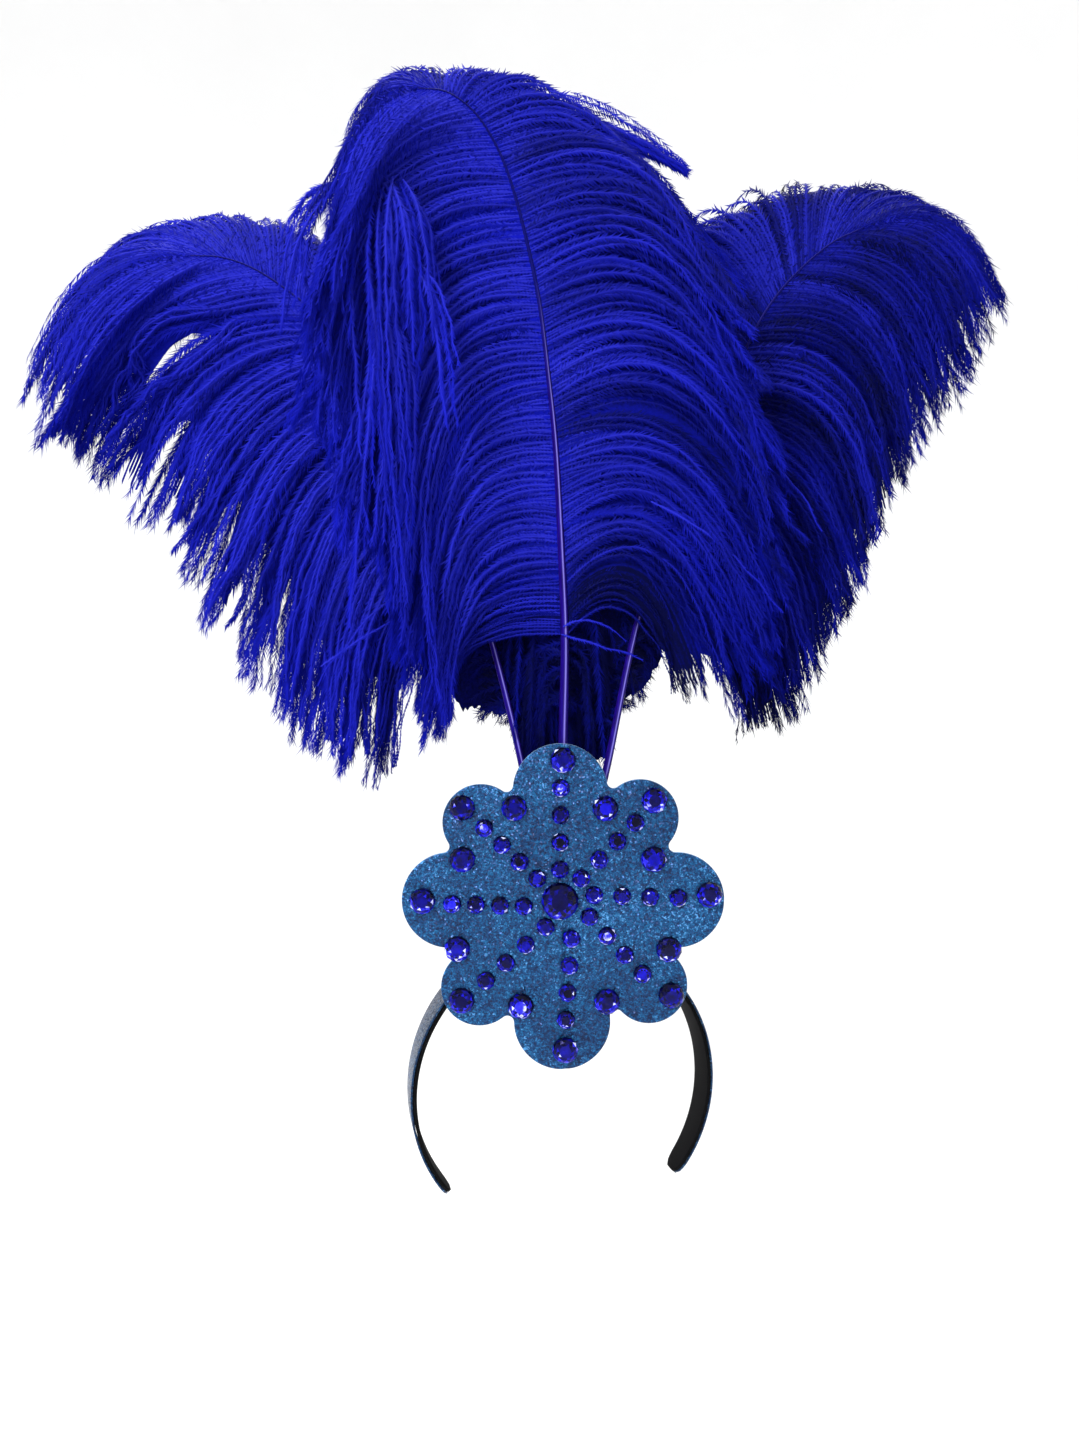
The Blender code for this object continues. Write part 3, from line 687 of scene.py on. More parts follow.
def quill_radius(name, share):
    """Thick and round to the vane's foot, then tapering to a hair."""
    foot, base, vane = VANE_START[name], QUILL_BASE_RADIUS[name], QUILL_VANE_RADIUS[name]
    shares = [0.0, foot, foot + 0.5 * (1 - foot), 1.0]
    return np.interp(share, shares, [base, vane, 0.5 * vane + 0.3 * QUILL_TIP_RADIUS, QUILL_TIP_RADIUS])


def make_quill(name, line, material):
    shares = np.linspace(0, 1, QUILL_POINTS)
    points, faces = tube_mesh(line, quill_radius(name, shares), QUILL_SIDES)
    along = np.concatenate([np.repeat(shares, QUILL_SIDES), [0.0, 1.0]])
    turns = 2 * math.pi * np.arange(QUILL_SIDES) / QUILL_SIDES
    # painted highlight: a pale stripe round the tube, a little left of its front
    off = (turns - 1.5 * math.pi - HIGHLIGHT_TURN + math.pi) % (2 * math.pi) - math.pi
    pale_and_highlight = np.exp(-((off / HIGHLIGHT_WIDTH) ** 2))
    pale_and_highlight = np.concatenate([np.tile(pale_and_highlight, QUILL_POINTS), [0.0, 0.0]])
    attributes = {"along": ("POINT", along), "pale_and_highlight": ("POINT", pale_and_highlight)}
    quill = add_piece("quill_" + name, points, faces, material, attributes)
    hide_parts("plume_" + name)


def drift(shares, rng, size, waves=(3, 7, 15)):
    """A smooth wandering number along the vane, made of a few waves."""
    total = np.zeros_like(shares)
    for count in waves:
        phase = rng.uniform(0, 2 * math.pi)
        total += np.sin(2 * math.pi * count * shares + phase) * rng.uniform(0.5, 1.0)
    return size * total / len(waves)


def droop_paths(place, first, hang, step, reach, curl=0.0):
    """Paths of many barbs that leave their places one way and bend over to hang, barbs x points x 3."""
    path = [place]
    for i in range(BARB_STEPS):
        droop = (1 - np.exp(-(((i + 0.5) * step / reach) ** DROOP_POWER)))[:, None]
        way = unit(first * (1 - droop) + hang * droop)
        way = unit(way + curl * smoothstep(0.5, 1.0, (i + 0.5) / BARB_STEPS))
        place = place + way * step[:, None]
        path.append(place)
    return np.stack(path, axis=1)


def barb_paths(name, side, line, shares, length_scale, angle_add=0.0, forward_add=0.0, stiffer=1.0, curl=0.0):
    """Paths of one side's barbs, which leave the quill as their rows say."""
    rows = np.array(BARBS[(name, side)], float)
    columns = [np.interp(shares, rows[:, 0], rows[:, k]) for k in range(1, rows.shape[1])]
    length, angle, forward, hang_x, hang_y, stiffness = columns
    angle, forward = np.radians(angle + angle_add), np.radians(forward + forward_add)
    along = VANE_START[name] + (1 - VANE_START[name]) * shares
    tangent = unit(line_at(line, along + TANGENT_REACH) - line_at(line, along - TANGENT_REACH))
    outward = unit(np.cross(tangent, FRONT)) * side
    outward = np.cos(forward)[:, None] * outward + np.sin(forward)[:, None] * FRONT
    first = np.cos(angle)[:, None] * tangent + np.sin(angle)[:, None] * outward
    hang = unit(np.stack([hang_x, hang_y, -np.ones_like(hang_x)], axis=1))
    step = length * MM * length_scale / BARB_STEPS
    reach = stiffness * MM * stiffer
    place = line_at(line, along) + BARB_SEAT * quill_radius(name, along)[:, None] * outward
    return droop_paths(place, first, hang, step, reach, curl)


def gather(paths, groups, pull, start):
    """Draws the outer part of each barb towards the middle of its group."""
    pull = np.broadcast_to(pull, len(paths))
    count = groups.max() + 1
    middle = np.zeros((count, *paths.shape[1:]))
    np.add.at(middle, groups, paths)
    middle /= np.bincount(groups, minlength=count)[:, None, None]
    share = np.linspace(0, 1, paths.shape[1])
    amount = (pull[:, None] * smoothstep(start, 1.0, share))[..., None]
    return paths * (1 - amount) + middle[groups] * amount


def part_barbs(paths, shares, across, name, side):
    """Pushes the barbs apart at the slits."""
    run = np.linspace(0, 1, paths.shape[1])[None]
    for middle, out, half, width in PARTINGS.get((name, side), ()):
        off = (shares - middle)[:, None]
        push = 1 - smoothstep(0.35, 1.0, np.abs(run - out) / (1.6 * half))
        push = np.exp(-((off / PARTING_REACH) ** 2)) * push
        paths = paths + (np.where(off > 0, 1, -1) * push * width * MM)[..., None] * unit(across)
    return paths


def wisp_groups(count, rng):
    """Neighbouring barbs in small groups of uneven size."""
    sizes = rng.integers(*WISP_BARBS, count)
    return np.repeat(np.arange(count), sizes)[:count]


def one_barb(path, across, rng, fringe, spacing, width):
    """One barb with soft barbules off both sides; a width above zero gives it a shaft of its own.

    Returns points, faces, normals, and two numbers per point: nearness to the shaft, share of the way out.
    """
    run = run_along(path)
    count = max(FEWEST_BARBULES, round(run[-1] / (spacing * MM)))
    at = np.linspace(0, run[-1], count + 1)
    places, across = points_at(at, run, path), points_at(at, run, across)
    share = at / run[-1]
    along = unit(np.gradient(places, axis=0))
    flat_way = np.cross(along, FRONT)
    flat_way *= 1 if (flat_way[: count // 3] * across[: count // 3]).sum() > 0 else -1
    side_way = unit(across) + FLATNESS * flat_way
    side_way = unit(side_way - (side_way * along).sum(1, keepdims=True) * along)
    normal = np.cross(along, side_way)
    if normal[count // 6] @ FRONT < 0:
        normal = -normal
    wave = rng.uniform(*BARB_WAVE) * MM * share
    wave = wave * np.sin(2 * math.pi * (at / (rng.uniform(*BARB_WAVE_LENGTH) * MM) + rng.uniform()))
    places = places + wave[:, None] * side_way
    roll = rng.normal(*BARB_ROLL) + rng.normal(0, BARB_TWIST) * share
    turn, lift = np.cos(roll)[:, None], np.sin(roll)[:, None]
    tilted = side_way * turn + normal * lift
    lifted = normal * turn - side_way * lift
    j = np.arange(count)
    n = count + 1
    half = 0.5 * (width + (BARB_END_WIDTH - width) * share)[:, None]
    edges = (1, -1) if width > 0 else (0,)
    spines = [places + way * tilted * half for way in edges]
    spine_normals = [normal + way * SHAFT_FAN * tilted for way in edges]
    faces = []
    if width > 0:
        faces = [np.stack([j, j + n, j + n + 1], 1), np.stack([j, j + n + 1, j + 1], 1)]
    reach = fringe * np.interp(share[:-1], *BARBULE_REACH)
    tips, tip_normals = [], []
    for k, way in enumerate((1, -1)):
        spread = rng.normal(0, BARBULE_SPREAD, count) + np.interp(share[:-1], *BARBULE_ANGLE)
        fold = rng.normal(*BARBULE_FOLD, count)
        long = reach * rng.uniform(*BARBULE_SCALE, count)
        heading = along[:-1] * np.cos(spread)[:, None]
        heading += tilted[:-1] * (way * np.sin(spread) * np.cos(fold))[:, None]
        heading += lifted[:-1] * (np.sin(spread) * np.sin(fold))[:, None]
        heading[:, 2] -= BARBULE_SAG
        edge = spines[k % len(spines)]
        tips.append(0.5 * (edge[:-1] + edge[1:]) + unit(heading) * long[:, None])
        rough = rng.normal(0, BARBULE_ROUGH, (count, 3))
        tip_normals.append(normal[:-1] + BARBULE_FAN * way * tilted[:-1] + rough)
        low = (k % len(spines)) * n
        tip = len(spines) * n + k * count
        faces.append(np.stack([low + j, low + j + 1, tip + j], 1))
    points = np.vstack([*spines, *tips])
    normals = unit(np.vstack([*spine_normals, *tip_normals]))
    faces = np.vstack(faces)
    turn_to_normals(points, faces, normals)
    shaft = np.zeros(len(points))
    shaft[: len(spines) * n] = 1.0 if width > 0 else THIN_SHAFT
    outward = np.concatenate([*[share] * len(spines), share[:-1], share[:-1]])
    return points, faces, normals, shaft, outward


class Fluff:
    """Gathers many barbs into one mesh: points, faces, normals, and the numbers shaft, along and
    tone_and_shade, a tone that carries painted shade.
    """

    def __init__(self):
        self.parts = []
        self.count = 0

    def add(self, points, faces, normals, shaft, along, tone_and_shade):
        tones_and_shades = np.broadcast_to(tone_and_shade, (len(points),))
        self.parts.append((points, faces + self.count, normals, shaft, along, tones_and_shades))
        self.count += len(points)

    def make(self, name, material, *nodes):
        points, faces, normals, *numbers = (np.concatenate(part) for part in zip(*self.parts))
        attributes = {key: ("POINT", values) for key, values in zip(("shaft", "along", "tone_and_shade"), numbers)}
        piece = add_piece(name, points, faces, material, attributes, normals=normals)
        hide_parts(*nodes)


def crowded(shares):
    """Shares along the vane that crowd towards the tip, where the barbs fan out."""
    return 1 - (1 - shares) ** TIP_CROWDING


def lock_of(shares, shift=0.0):
    """Which lock each barb belongs to; the locks crowd towards the tip."""
    return np.floor(LOCKS * (1 - (1 - shares) ** (1 / LOCK_CROWDING)) + shift).astype(int)


def vane_length(name, line):
    return run_along(line)[-1] * (1 - VANE_START[name])


def lock_lengths(lock, side):
    return np.array(LOCK_LENGTHS)[(lock + side) % len(LOCK_LENGTHS)]


# painted shade: how much darker the barbs are towards the vane's foot
def foot_painted_shade(shares):
    return FOOT_PAINTED_SHADE * (1 - smoothstep(0.0, FOOT_PAINTED_SHADE_END, shares))


def add_web(fluff, name, side, line, rng):
    """The dense down under the barbs: a ribbed sheet through the middle layer, split into the locks."""
    shares = crowded(np.linspace(0, 1, round(vane_length(name, line) / WEB_SPACING)))
    lock = lock_of(shares)
    pull, uneven, dye_and_painted_shade, _ = SIDES[(name, side)]
    scale = WEB_REACH * (1 - uneven + uneven * lock_lengths(lock, side))
    scale = scale * rng.uniform(*WEB_LENGTHS, len(shares))
    tip_reach = WEB_TIP_REACH.get((name, side), WEB_PLAIN_TIP_REACH)
    scale = scale * (1 - (1 - tip_reach) * smoothstep(0.74, 0.92, shares))
    paths = barb_paths(name, side, line, shares, scale, forward_add=-2.0)
    paths = gather(paths, lock, pull, LOCK_FROM)
    along = unit(np.gradient(paths, axis=1))
    across = np.gradient(paths, axis=0)
    paths = part_barbs(paths, shares, across, name, side)
    normal = np.cross(along, unit(across))
    if (normal[len(shares) // 2, 4] @ FRONT) < 0:
        normal = -normal
    normal = unit(normal + FLATNESS * FRONT)
    paths = paths + normal * (WEB_RIDGE * np.where(np.arange(len(shares)) % 2, 1, -1))[:, None, None]
    rows, columns = paths.shape[:2]
    faces = []
    split = int((WEB_SPLIT if uneven < 0.45 else WEB_UNEVEN_SPLIT) * columns)
    strand = int(WEB_STRANDS * columns)
    for i in range(rows - 1):
        end = split if lock[i] != lock[i + 1] else columns - 1
        if i % 2:
            end = min(end, strand)
        j = np.arange(end)
        for middle, out, half, _ in PARTINGS.get((name, side), ()):
            if shares[i] < middle <= shares[i + 1]:
                j = j[np.abs((j + 0.5) / columns - out) > half]
        a, b = i * columns + j, (i + 1) * columns + j
        faces += [np.stack([a, b, b + 1], 1), np.stack([a, b + 1, a + 1], 1)]
    faces = np.vstack(faces)
    points, normals = paths.reshape(-1, 3), normal.reshape(-1, 3)
    turn_to_normals(points, faces, normals)
    # the sheet's tone carries the side's painted shade and a stronger painted shade at the vane's foot
    tone = np.repeat(WEB_TONE + dye_and_painted_shade - 1.6 * foot_painted_shade(shares) + rng.normal(0, 0.2, rows), columns)
    share = np.tile(np.linspace(0, 1, columns), rows)
    fluff.add(points, faces, normals, np.zeros(len(points)), share, tone)


def grow_side(name, side, line, material):
    """One side of a vane, layer by layer, as one mesh."""
    fluff = Fluff()
    pull, uneven, dye_and_painted_shade, tousle = SIDES[(name, side)]
    for spacing, length_scale, forward_add, lock_shift, barbule_spacing, barbule_length, seed in LAYERS:
        rng = np.random.default_rng([seed, side + 1, len(name), ord(name[0])])
        count = round(vane_length(name, line) / (spacing * MM))
        shares = np.linspace(0, 1, count) + rng.uniform(-BARB_JITTER, BARB_JITTER, count) / count
        shares = crowded(np.clip(np.sort(shares), 0, 1))
        plain = barb_paths(name, side, line, shares, 1.0)
        across = np.gradient(plain, axis=0)
        lock = lock_of(shares, lock_shift)
        wisp = wisp_groups(count, rng)
        wisps = wisp.max() + 1
        wisp_length = rng.normal(1.0, WISP_SPREAD["length"], wisps)[wisp]
        wisp_tone = rng.normal(0, WISP_SPREAD["tone"], wisps)[wisp]
        # painted shade at the vane's foot
        wisp_tone += drift(shares, rng, DRIFT["tone"], (4, 9, 13)) - foot_painted_shade(shares)
        wisp_angle = rng.normal(0, WISP_SPREAD["angle"], wisps)[wisp]
        calm = min(1.0, tousle)
        tousled = tousle * np.interp(shares, *TOUSLE_ALONG)
        curl = rng.normal(0, 1, (wisps, 3))[wisp] * WISP_SPREAD["curl"]
        curl = (curl + rng.normal(0, 1, (count, 3)) * BARB_SPREAD["curl"]) * tousle
        length = wisp_length * rng.normal(1.0, BARB_SPREAD["length"], count)
        length = (1 - uneven + uneven * lock_lengths(lock, side)) * (1 + calm * (length - 1))
        length = length_scale * length
        turn = drift(shares, rng, DRIFT["angle"]) + wisp_angle
        turn = tousled * (turn + rng.normal(0, BARB_SPREAD["angle"], count))
        forward = drift(shares, rng, DRIFT["forward"])
        forward = tousled * (forward + rng.normal(0, BARB_SPREAD["forward"], count))
        forward = forward_add * max(calm, 0.4) + forward
        stiffness = 1 + drift(shares, rng, DRIFT["stiffness"])
        stiffness = stiffness + rng.normal(0, BARB_SPREAD["stiffness"], count)
        paths = barb_paths(name, side, line, shares, length, turn, forward, stiffness, curl)
        paths = gather(paths, lock - lock.min(), pull, LOCK_FROM)
        front = seed == LAYERS[-1][-1]
        wisp_pull = (WISP_PULL if front else BACK_WISP_PULL) * calm * (0.4 + 0.6 * tousled)
        paths = gather(paths, wisp, wisp_pull, WISP_FROM)
        paths = part_barbs(paths, shares, across, name, side)
        for i in range(count):
            width = BARB_WIDTH * rng.uniform(*WIDTH_SCALE) if front else 0.0
            fringe = barbule_length * MM * rng.uniform(*FRINGE_SCALE) * np.interp(shares[i], *FRINGE_ALONG)
            barb = one_barb(paths[i], across[i], rng, fringe, barbule_spacing, width)
            # the side's dye value carries painted shade on the right-hand sides
            tone = 0.5 + dye_and_painted_shade + wisp_tone[i] + rng.normal(0, BARB_SPREAD["tone"])
            fluff.add(*barb, tone + (0.0 if front else BACK_TONE))
    add_web(fluff, name, side, line, rng)
    side_word = "left" if side == -1 else "right"
    fluff.make(f"vane_{name}_{side_word}", material, "plume_" + name)


def free_path(start, first, hang, length, stiffness):
    """Path of one barb that leaves its start one way and bends over to hang, all in mm."""
    start, first, hang = (np.array([way], float) for way in (start, first, hang))
    step = np.array([length / BARB_STEPS])
    return droop_paths(start, unit(first), unit(hang), step, stiffness)[0] * MM


def add_loose(fluff, path, rng, fringe, spacing, width, tone, spread=0.0):
    """Adds one barb outside the vanes, with its flat side to the front."""
    across = unit(np.cross(unit(np.gradient(path, axis=0)), FRONT) + 0.01)
    barb = one_barb(path, across, rng, fringe, spacing, width)
    fluff.add(*barb, tone + (rng.normal(0, spread) if spread else 0.0))


def down_edge(x):
    """Height of the down's lower edge at a place across it, in mm."""
    places, heights = zip(*DOWN_EDGE)
    return np.interp(x, places, heights)


def grow_down(lines, material):
    """Fluff behind the bare quills, made dark as painted shade, from the feet of the vanes down to the
    flower.
    """
    rng = np.random.default_rng(71)
    fluff = Fluff()
    names = list(lines)
    for i in range(DOWN_BARBS):
        name = names[i % len(names)]
        share = rng.uniform(0.25, VANE_START[name] + 0.13)
        start = line_at(lines[name], share) / MM + np.array([0.0, 1.0, 0.0])
        way = rng.choice((-1, 1))
        first = (way * rng.uniform(0.2, 1.2), rng.uniform(0.25, 1.3), rng.uniform(-0.5, 0.6))
        hang = (way * rng.uniform(0.0, 0.12), rng.uniform(-0.05, 0.1), -1.0)
        foot = max(down_edge(start[0] + off * way) for off in (0, 12, 24)) + rng.uniform(-2, 14)
        length = max(DOWN_SHORTEST, 1.12 * (start[2] - foot))
        path = free_path(start, first, hang, length, rng.uniform(10, 34))
        inside = path[:, 2] > (down_edge(path[:, 0] / MM) - DOWN_FRINGE) * MM
        path = path[np.logical_and.accumulate(inside)]
        if len(path) >= 5:
            add_loose(fluff, path, rng, rng.uniform(5, 7.5) * MM, 1.5, 0.0, DOWN_SHADE_TONE, 0.15)
    left, right, columns = DOWN_EDGE[0][0], DOWN_EDGE[-1][0], DOWN_COLUMNS
    x, down = np.meshgrid(np.linspace(left, right, columns), np.linspace(0, 1, DOWN_ROWS))
    foot = down_edge(x) + 3 * np.abs(np.sin(0.17 * x)) + rng.uniform(0, 3, columns)
    z = DOWN_TOP + (foot - DOWN_TOP) * down
    y = 2 * np.cos(0.09 * x) + 6 * (x / right) ** 2 - 7 + 0.4 * (-1) ** np.arange(columns)
    points = np.stack([x, y, z], axis=-1).reshape(-1, 3) * MM
    a = (np.arange(DOWN_ROWS - 1)[:, None] * columns + np.arange(columns - 1)).ravel()
    b = a + columns
    faces = np.vstack([np.stack([a, a + 1, b], 1), np.stack([a + 1, b + 1, b], 1)])
    normals = np.tile(FRONT, (len(points), 1))
    turn_to_normals(points, faces, normals)
    # a dark sheet behind the down's barbs that stands for shade
    fluff.add(points, faces, normals, np.zeros(len(points)), np.ones(len(points)), DOWN_SHADE_SHEET_TONE)
    fluff.make("down_behind", material, *("plume_" + name for name in names))


def grow_loose(material):
    """The bundle that hangs from the middle plume's curled end, and the barbs that have come loose."""
    rng = np.random.default_rng(5)
    fluff = Fluff()
    low, high = BUNDLE_TURNS
    for i in range(BUNDLE_BARBS):
        wisp = i // BUNDLE_WISP
        turn = low + (high - low) * (0.5 + 0.5 * math.sin(2.4 * wisp))
        turn = math.radians(turn + rng.normal(0, 3))
        lower = max(0.0, math.sin(7.3 * wisp)) ** 2
        start = np.array(BUNDLE_PLACE) + (9 * math.sin(turn), 3 + 4 * lower, -62 * lower)
        start += rng.normal(0, 1.6, 3)
        start[0] += 9 * math.cos(3.7 * wisp)
        first = (math.sin(turn), -0.15 + 0.2 * math.cos(1.3 * wisp), 0.35 - math.cos(turn))
        hang = (0.1 * math.cos(5.1 * wisp) + rng.normal(0, 0.03), 0.02, -1.0)
        length = (46 + 90 * math.cos(1.6 * turn) ** 2) * (1 + 0.3 * math.sin(1.9 * wisp))
        length *= rng.uniform(0.85, 1.1)
        path = free_path(start, first, hang, length, rng.uniform(20, 34))
        tone = BUNDLE_TONE + 0.2 * math.sin(3.3 * wisp)
        width = BARB_WIDTH if i % 2 else 0.0
        add_loose(fluff, path, rng, rng.uniform(3.4, 5.2) * MM, 1.6, width, tone, 0.08)
    start, first, hang, length, stiffness = STRAY_LOCK
    tip = free_path(start, first, hang, length, stiffness)[-1]
    for i in range(STRAY_LOCK_BARBS):
        off = np.array([rng.uniform(-14, 8), rng.normal(0, 2), rng.normal(-2, 4)])
        path = free_path(np.array(start) + off, first, hang, length - off[0], stiffness)
        share = np.linspace(0, 1, len(path))[:, None]
        path = path + (tip - path[-1]) * STRAY_LOCK_GATHER * share**1.5
        width = BARB_WIDTH if i % 2 else 0.0
        add_loose(fluff, path, rng, 4.5 * MM, 1.5, width, STRAY_LOCK_TONE, 0.1)
    for start, first, hang, length, stiffness in LOOSE_BARBS:
        path = free_path(start, first, hang, length, stiffness)
        add_loose(fluff, path, rng, 2.2 * MM, 1.5, BARB_WIDTH, LOOSE_TONE)
    fluff.make("bundle_and_loose_barbs", material, "plume_centre")


# Flower


def fillet_between(first, second):
    """Centre of the small circle that touches two petals from outside, in the valley between them."""
    (xa, ya, ra), (xb, yb, rb) = first, second
    ra += VALLEY_FILLET * MM
    rb += VALLEY_FILLET * MM
    apart = math.hypot(xb - xa, yb - ya)
    dx, dy = (xb - xa) / apart, (yb - ya) / apart
    along = (apart * apart + ra * ra - rb * rb) / (2 * apart)
    off = math.sqrt(ra * ra - along * along)
    choices = [(xa + dx * along - dy * k * off, ya + dy * along + dx * k * off) for k in (1, -1)]
    return max(choices, key=lambda c: math.hypot(*c))


def arc_points(centre, radius, start, end, count):
    turns = np.linspace(start, end, count + 1)
    return np.stack([centre[0] + radius * np.cos(turns), centre[1] + radius * np.sin(turns)], axis=1)


def angle_after(angle, base):
    """The same angle, with whole turns added until it is past the base angle."""
    while angle < base:
        angle += 2 * math.pi
    return angle


def flower_outline():
    """Points round the flower: a big arc for each petal and a small hollow one in each valley."""
    petals = [(math.radians(angle), reach * MM, radius * MM) for angle, reach, radius in PETALS]
    circles = [(reach * math.cos(turn), reach * math.sin(turn), radius) for turn, reach, radius in petals]
    count = len(circles)
    hollows = [fillet_between(circles[i], circles[(i + 1) % count]) for i in range(count)]
    outline = []
    for i, (x, y, radius) in enumerate(circles):
        before, after = hollows[i - 1], hollows[i]
        start = math.atan2(before[1] - y, before[0] - x)
        end = angle_after(math.atan2(after[1] - y, after[0] - x), start)
        outline.append(arc_points((x, y), radius, start, end, PETAL_POINTS))
        following = circles[(i + 1) % count]
        enter = math.atan2(y - after[1], x - after[0])
        leave = math.atan2(following[1] - after[1], following[0] - after[0])
        small = arc_points(after, VALLEY_FILLET * MM, angle_after(enter, leave), leave, FILLET_POINTS)
        outline.append(small[1:-1])
    return np.vstack(outline)


def plate_relief(x, z):
    """How far the flower's face lies behind flat, in metres: two creases and rims that curl back."""
    x, z = x / MM, z / MM
    down = 0.95 * np.exp(-((x - 1.5) / 1.5) ** 2) * smoothstep(-4, -16, z)
    across = 0.85 * np.exp(-((z - 1.0) / 1.6) ** 2) * smoothstep(8, 22, x)
    wave = 0.18 * np.sin(x / 11 + 0.6) * np.cos(z / 14 - 0.4)
    reach = np.hypot(x, z)
    lower_right = 0.4 + 0.6 * smoothstep(-0.2, 0.9, (x - z) / reach.clip(1e-3))
    curl = 0.9 * smoothstep(64, 88, reach) * lower_right
    return (down + across + wave + curl) * MM


def make_plate(glitter, edge):
    """The foam flower: a face with soft relief, a rounded edge, its cut side and a flat back."""
    outline = flower_outline()
    count = len(outline)
    soft, thickness, bevel = PLATE_SOFT, PLATE_THICKNESS, PLATE_BEVEL
    normals = np.roll(outline, -1, axis=0) - np.roll(outline, 1, axis=0)
    normals = np.stack([normals[:, 1], -normals[:, 0]], axis=1)
    normals /= np.linalg.norm(normals, axis=1, keepdims=True)
    inner = outline - normals * soft
    rings = [(inner * share, 0.0) for share in np.linspace(0.02, 1.0, PLATE_RINGS)]
    for turn in (30, 60, 90):
        angle = math.radians(turn)
        rings.append((inner + normals * soft * math.sin(angle), soft * (1 - math.cos(angle))))
    face_rings = len(rings)
    rings += [(outline, thickness - bevel), (outline - normals * bevel, thickness)]
    rings.append((outline * 0.5, thickness))
    layers = [[(0.0, FLOWER_FRONT + plate_relief(np.zeros(1), np.zeros(1))[0], 0.0)]]
    for k, (flat, back) in enumerate(rings):
        x, z = flat[:, 0], flat[:, 1]
        y = np.full(count, FLOWER_FRONT + back)
        if k < face_rings:
            y = y + plate_relief(x, z) * (1 - 0.35 * back / thickness)
        layers.append(np.stack([x, y, z], axis=1))
    points = np.vstack([*layers, [[0.0, FLOWER_FRONT + thickness, 0.0]]]) + FLOWER_CENTRE
    faces = fan(0, 1, count)
    for k in range(len(rings) - 1):
        faces += ring_quads(1 + k * count, 1 + (k + 1) * count, count)
    faces += fan(len(points) - 1, 1 + (len(rings) - 1) * count, count, turned=True)
    on_edge = np.arange(len(faces)) >= (face_rings - 1) * count
    plate = add_piece("flower_face", points, faces, glitter)
    plate.data.materials.append(edge)
    plate.data.polygons.foreach_set("material_index", on_edge.astype(np.int32))
    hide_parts("flower_plate")


# Stones


def stone_shape(kind):
    """Points, facets and their heights for a round cut stone: girdle, three rows of facets and a table."""
    radius, height, sides = STONE_SIZES[kind]
    rows = [
        # radius share, height share, half turns
        (1.0, 0.0, 0.0),
        (1.0, 0.22, 0.0),
        (0.88, 0.60, 0.5),
        (0.68, 0.88, 0.0),
        (0.46, 1.0, 0.5),
    ]
    points = []
    for share, level, turn in rows:
        points += circle(share * radius, sides, level * height, turn)
    faces = [tuple(reversed(range(sides))), *ring_quads(0, sides, sides, turned=True)]
    for row in range(1, len(rows) - 1):
        low, high = row * sides, (row + 1) * sides
        for i in range(sides):
            n = (i + 1) % sides
            if rows[row][2] < rows[row + 1][2]:
                faces += [(low + i, low + n, high + i), (high + i, low + n, high + n)]
            else:
                faces += [(low + i, high + n, high + i), (low + i, low + n, high + n)]
    faces.append(tuple(range((len(rows) - 1) * sides, len(rows) * sides)))
    return np.array(points), faces


def facet_painted_light(points, face, rng, stone_shade):
    """Painted light and shade on a facet's blue: those that face up are painted dark, those that face down
    painted pale, as if they catch light.
    """
    a, b, c = points[list(face[:3])]
    normal = unit(np.cross(b - a, c - a))
    steep = math.hypot(normal[0], normal[2])
    return 0.50 - 0.48 * normal[2] * (0.4 + 0.6 * steep) - stone_shade + rng.normal(0, 0.24)


def make_stones(name, kind, nodes, material):
    """One mesh for all stones of a kind, each standing where its node stands."""
    rng = np.random.default_rng(len(name) + len(nodes))
    shape, shape_faces = stone_shape(kind)
    radius = STONE_SIZES[kind][0]
    stone_shade = STONE_PAINTED_SHADE[kind]
    points, faces, facet_light_and_shade = [], [], []
    for node in nodes:
        low, high = (np.array(corner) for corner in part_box(node))
        middle = (low + high) / 2
        turn = rng.uniform(0, 2 * math.pi)
        lean = rng.normal(0, 0.05, 2)
        x = shape[:, 0] * math.cos(turn) - shape[:, 1] * math.sin(turn)
        z = shape[:, 0] * math.sin(turn) + shape[:, 1] * math.cos(turn)
        out = shape[:, 2] * (1 + (lean[0] * x + lean[1] * z) / radius)
        placed = np.stack([middle[0] + x, high[1] + STONE_SINK - out, middle[2] + z], axis=1)
        # painted shade for each stone
        dark = stone_shade + rng.normal(0, 0.06)
        start = sum(len(p) for p in points)
        # painted spark: one near-white facet on each smaller stone
        painted_spark = rng.integers(2 * len(shape_faces)) if kind != "centre" else -1
        for i, face in enumerate(shape_faces):
            faces.append(tuple(start + k for k in face))
            facet_light_and_shade.append(PAINTED_SPARK_TONE if i == painted_spark else min(0.95, facet_painted_light(placed, face, rng, dark)))
        points.append(placed)
    attributes = {"facet": ("FACE", facet_light_and_shade)}
    stones = add_piece(name, np.vstack(points), faces, material, attributes, smooth=False)
    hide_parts(*nodes)


# Band


def band_half_width(share, full):
    """Half of the band's width at a share (0 at the crown, 1 at an end) of its half arc."""
    taper = max(0.0, (share - BAND_TAPER_FROM) / (1 - BAND_TAPER_FROM))
    width = full + (BAND_END_WIDTH_OF - BAND_WIDTH) * taper
    if share > BAND_ROUND_END:
        along = (share - BAND_ROUND_END) / (1 - BAND_ROUND_END)
        width *= BAND_TIP_SHARE + (1 - BAND_TIP_SHARE) * math.sqrt(1 - along * along)
    return width / 2


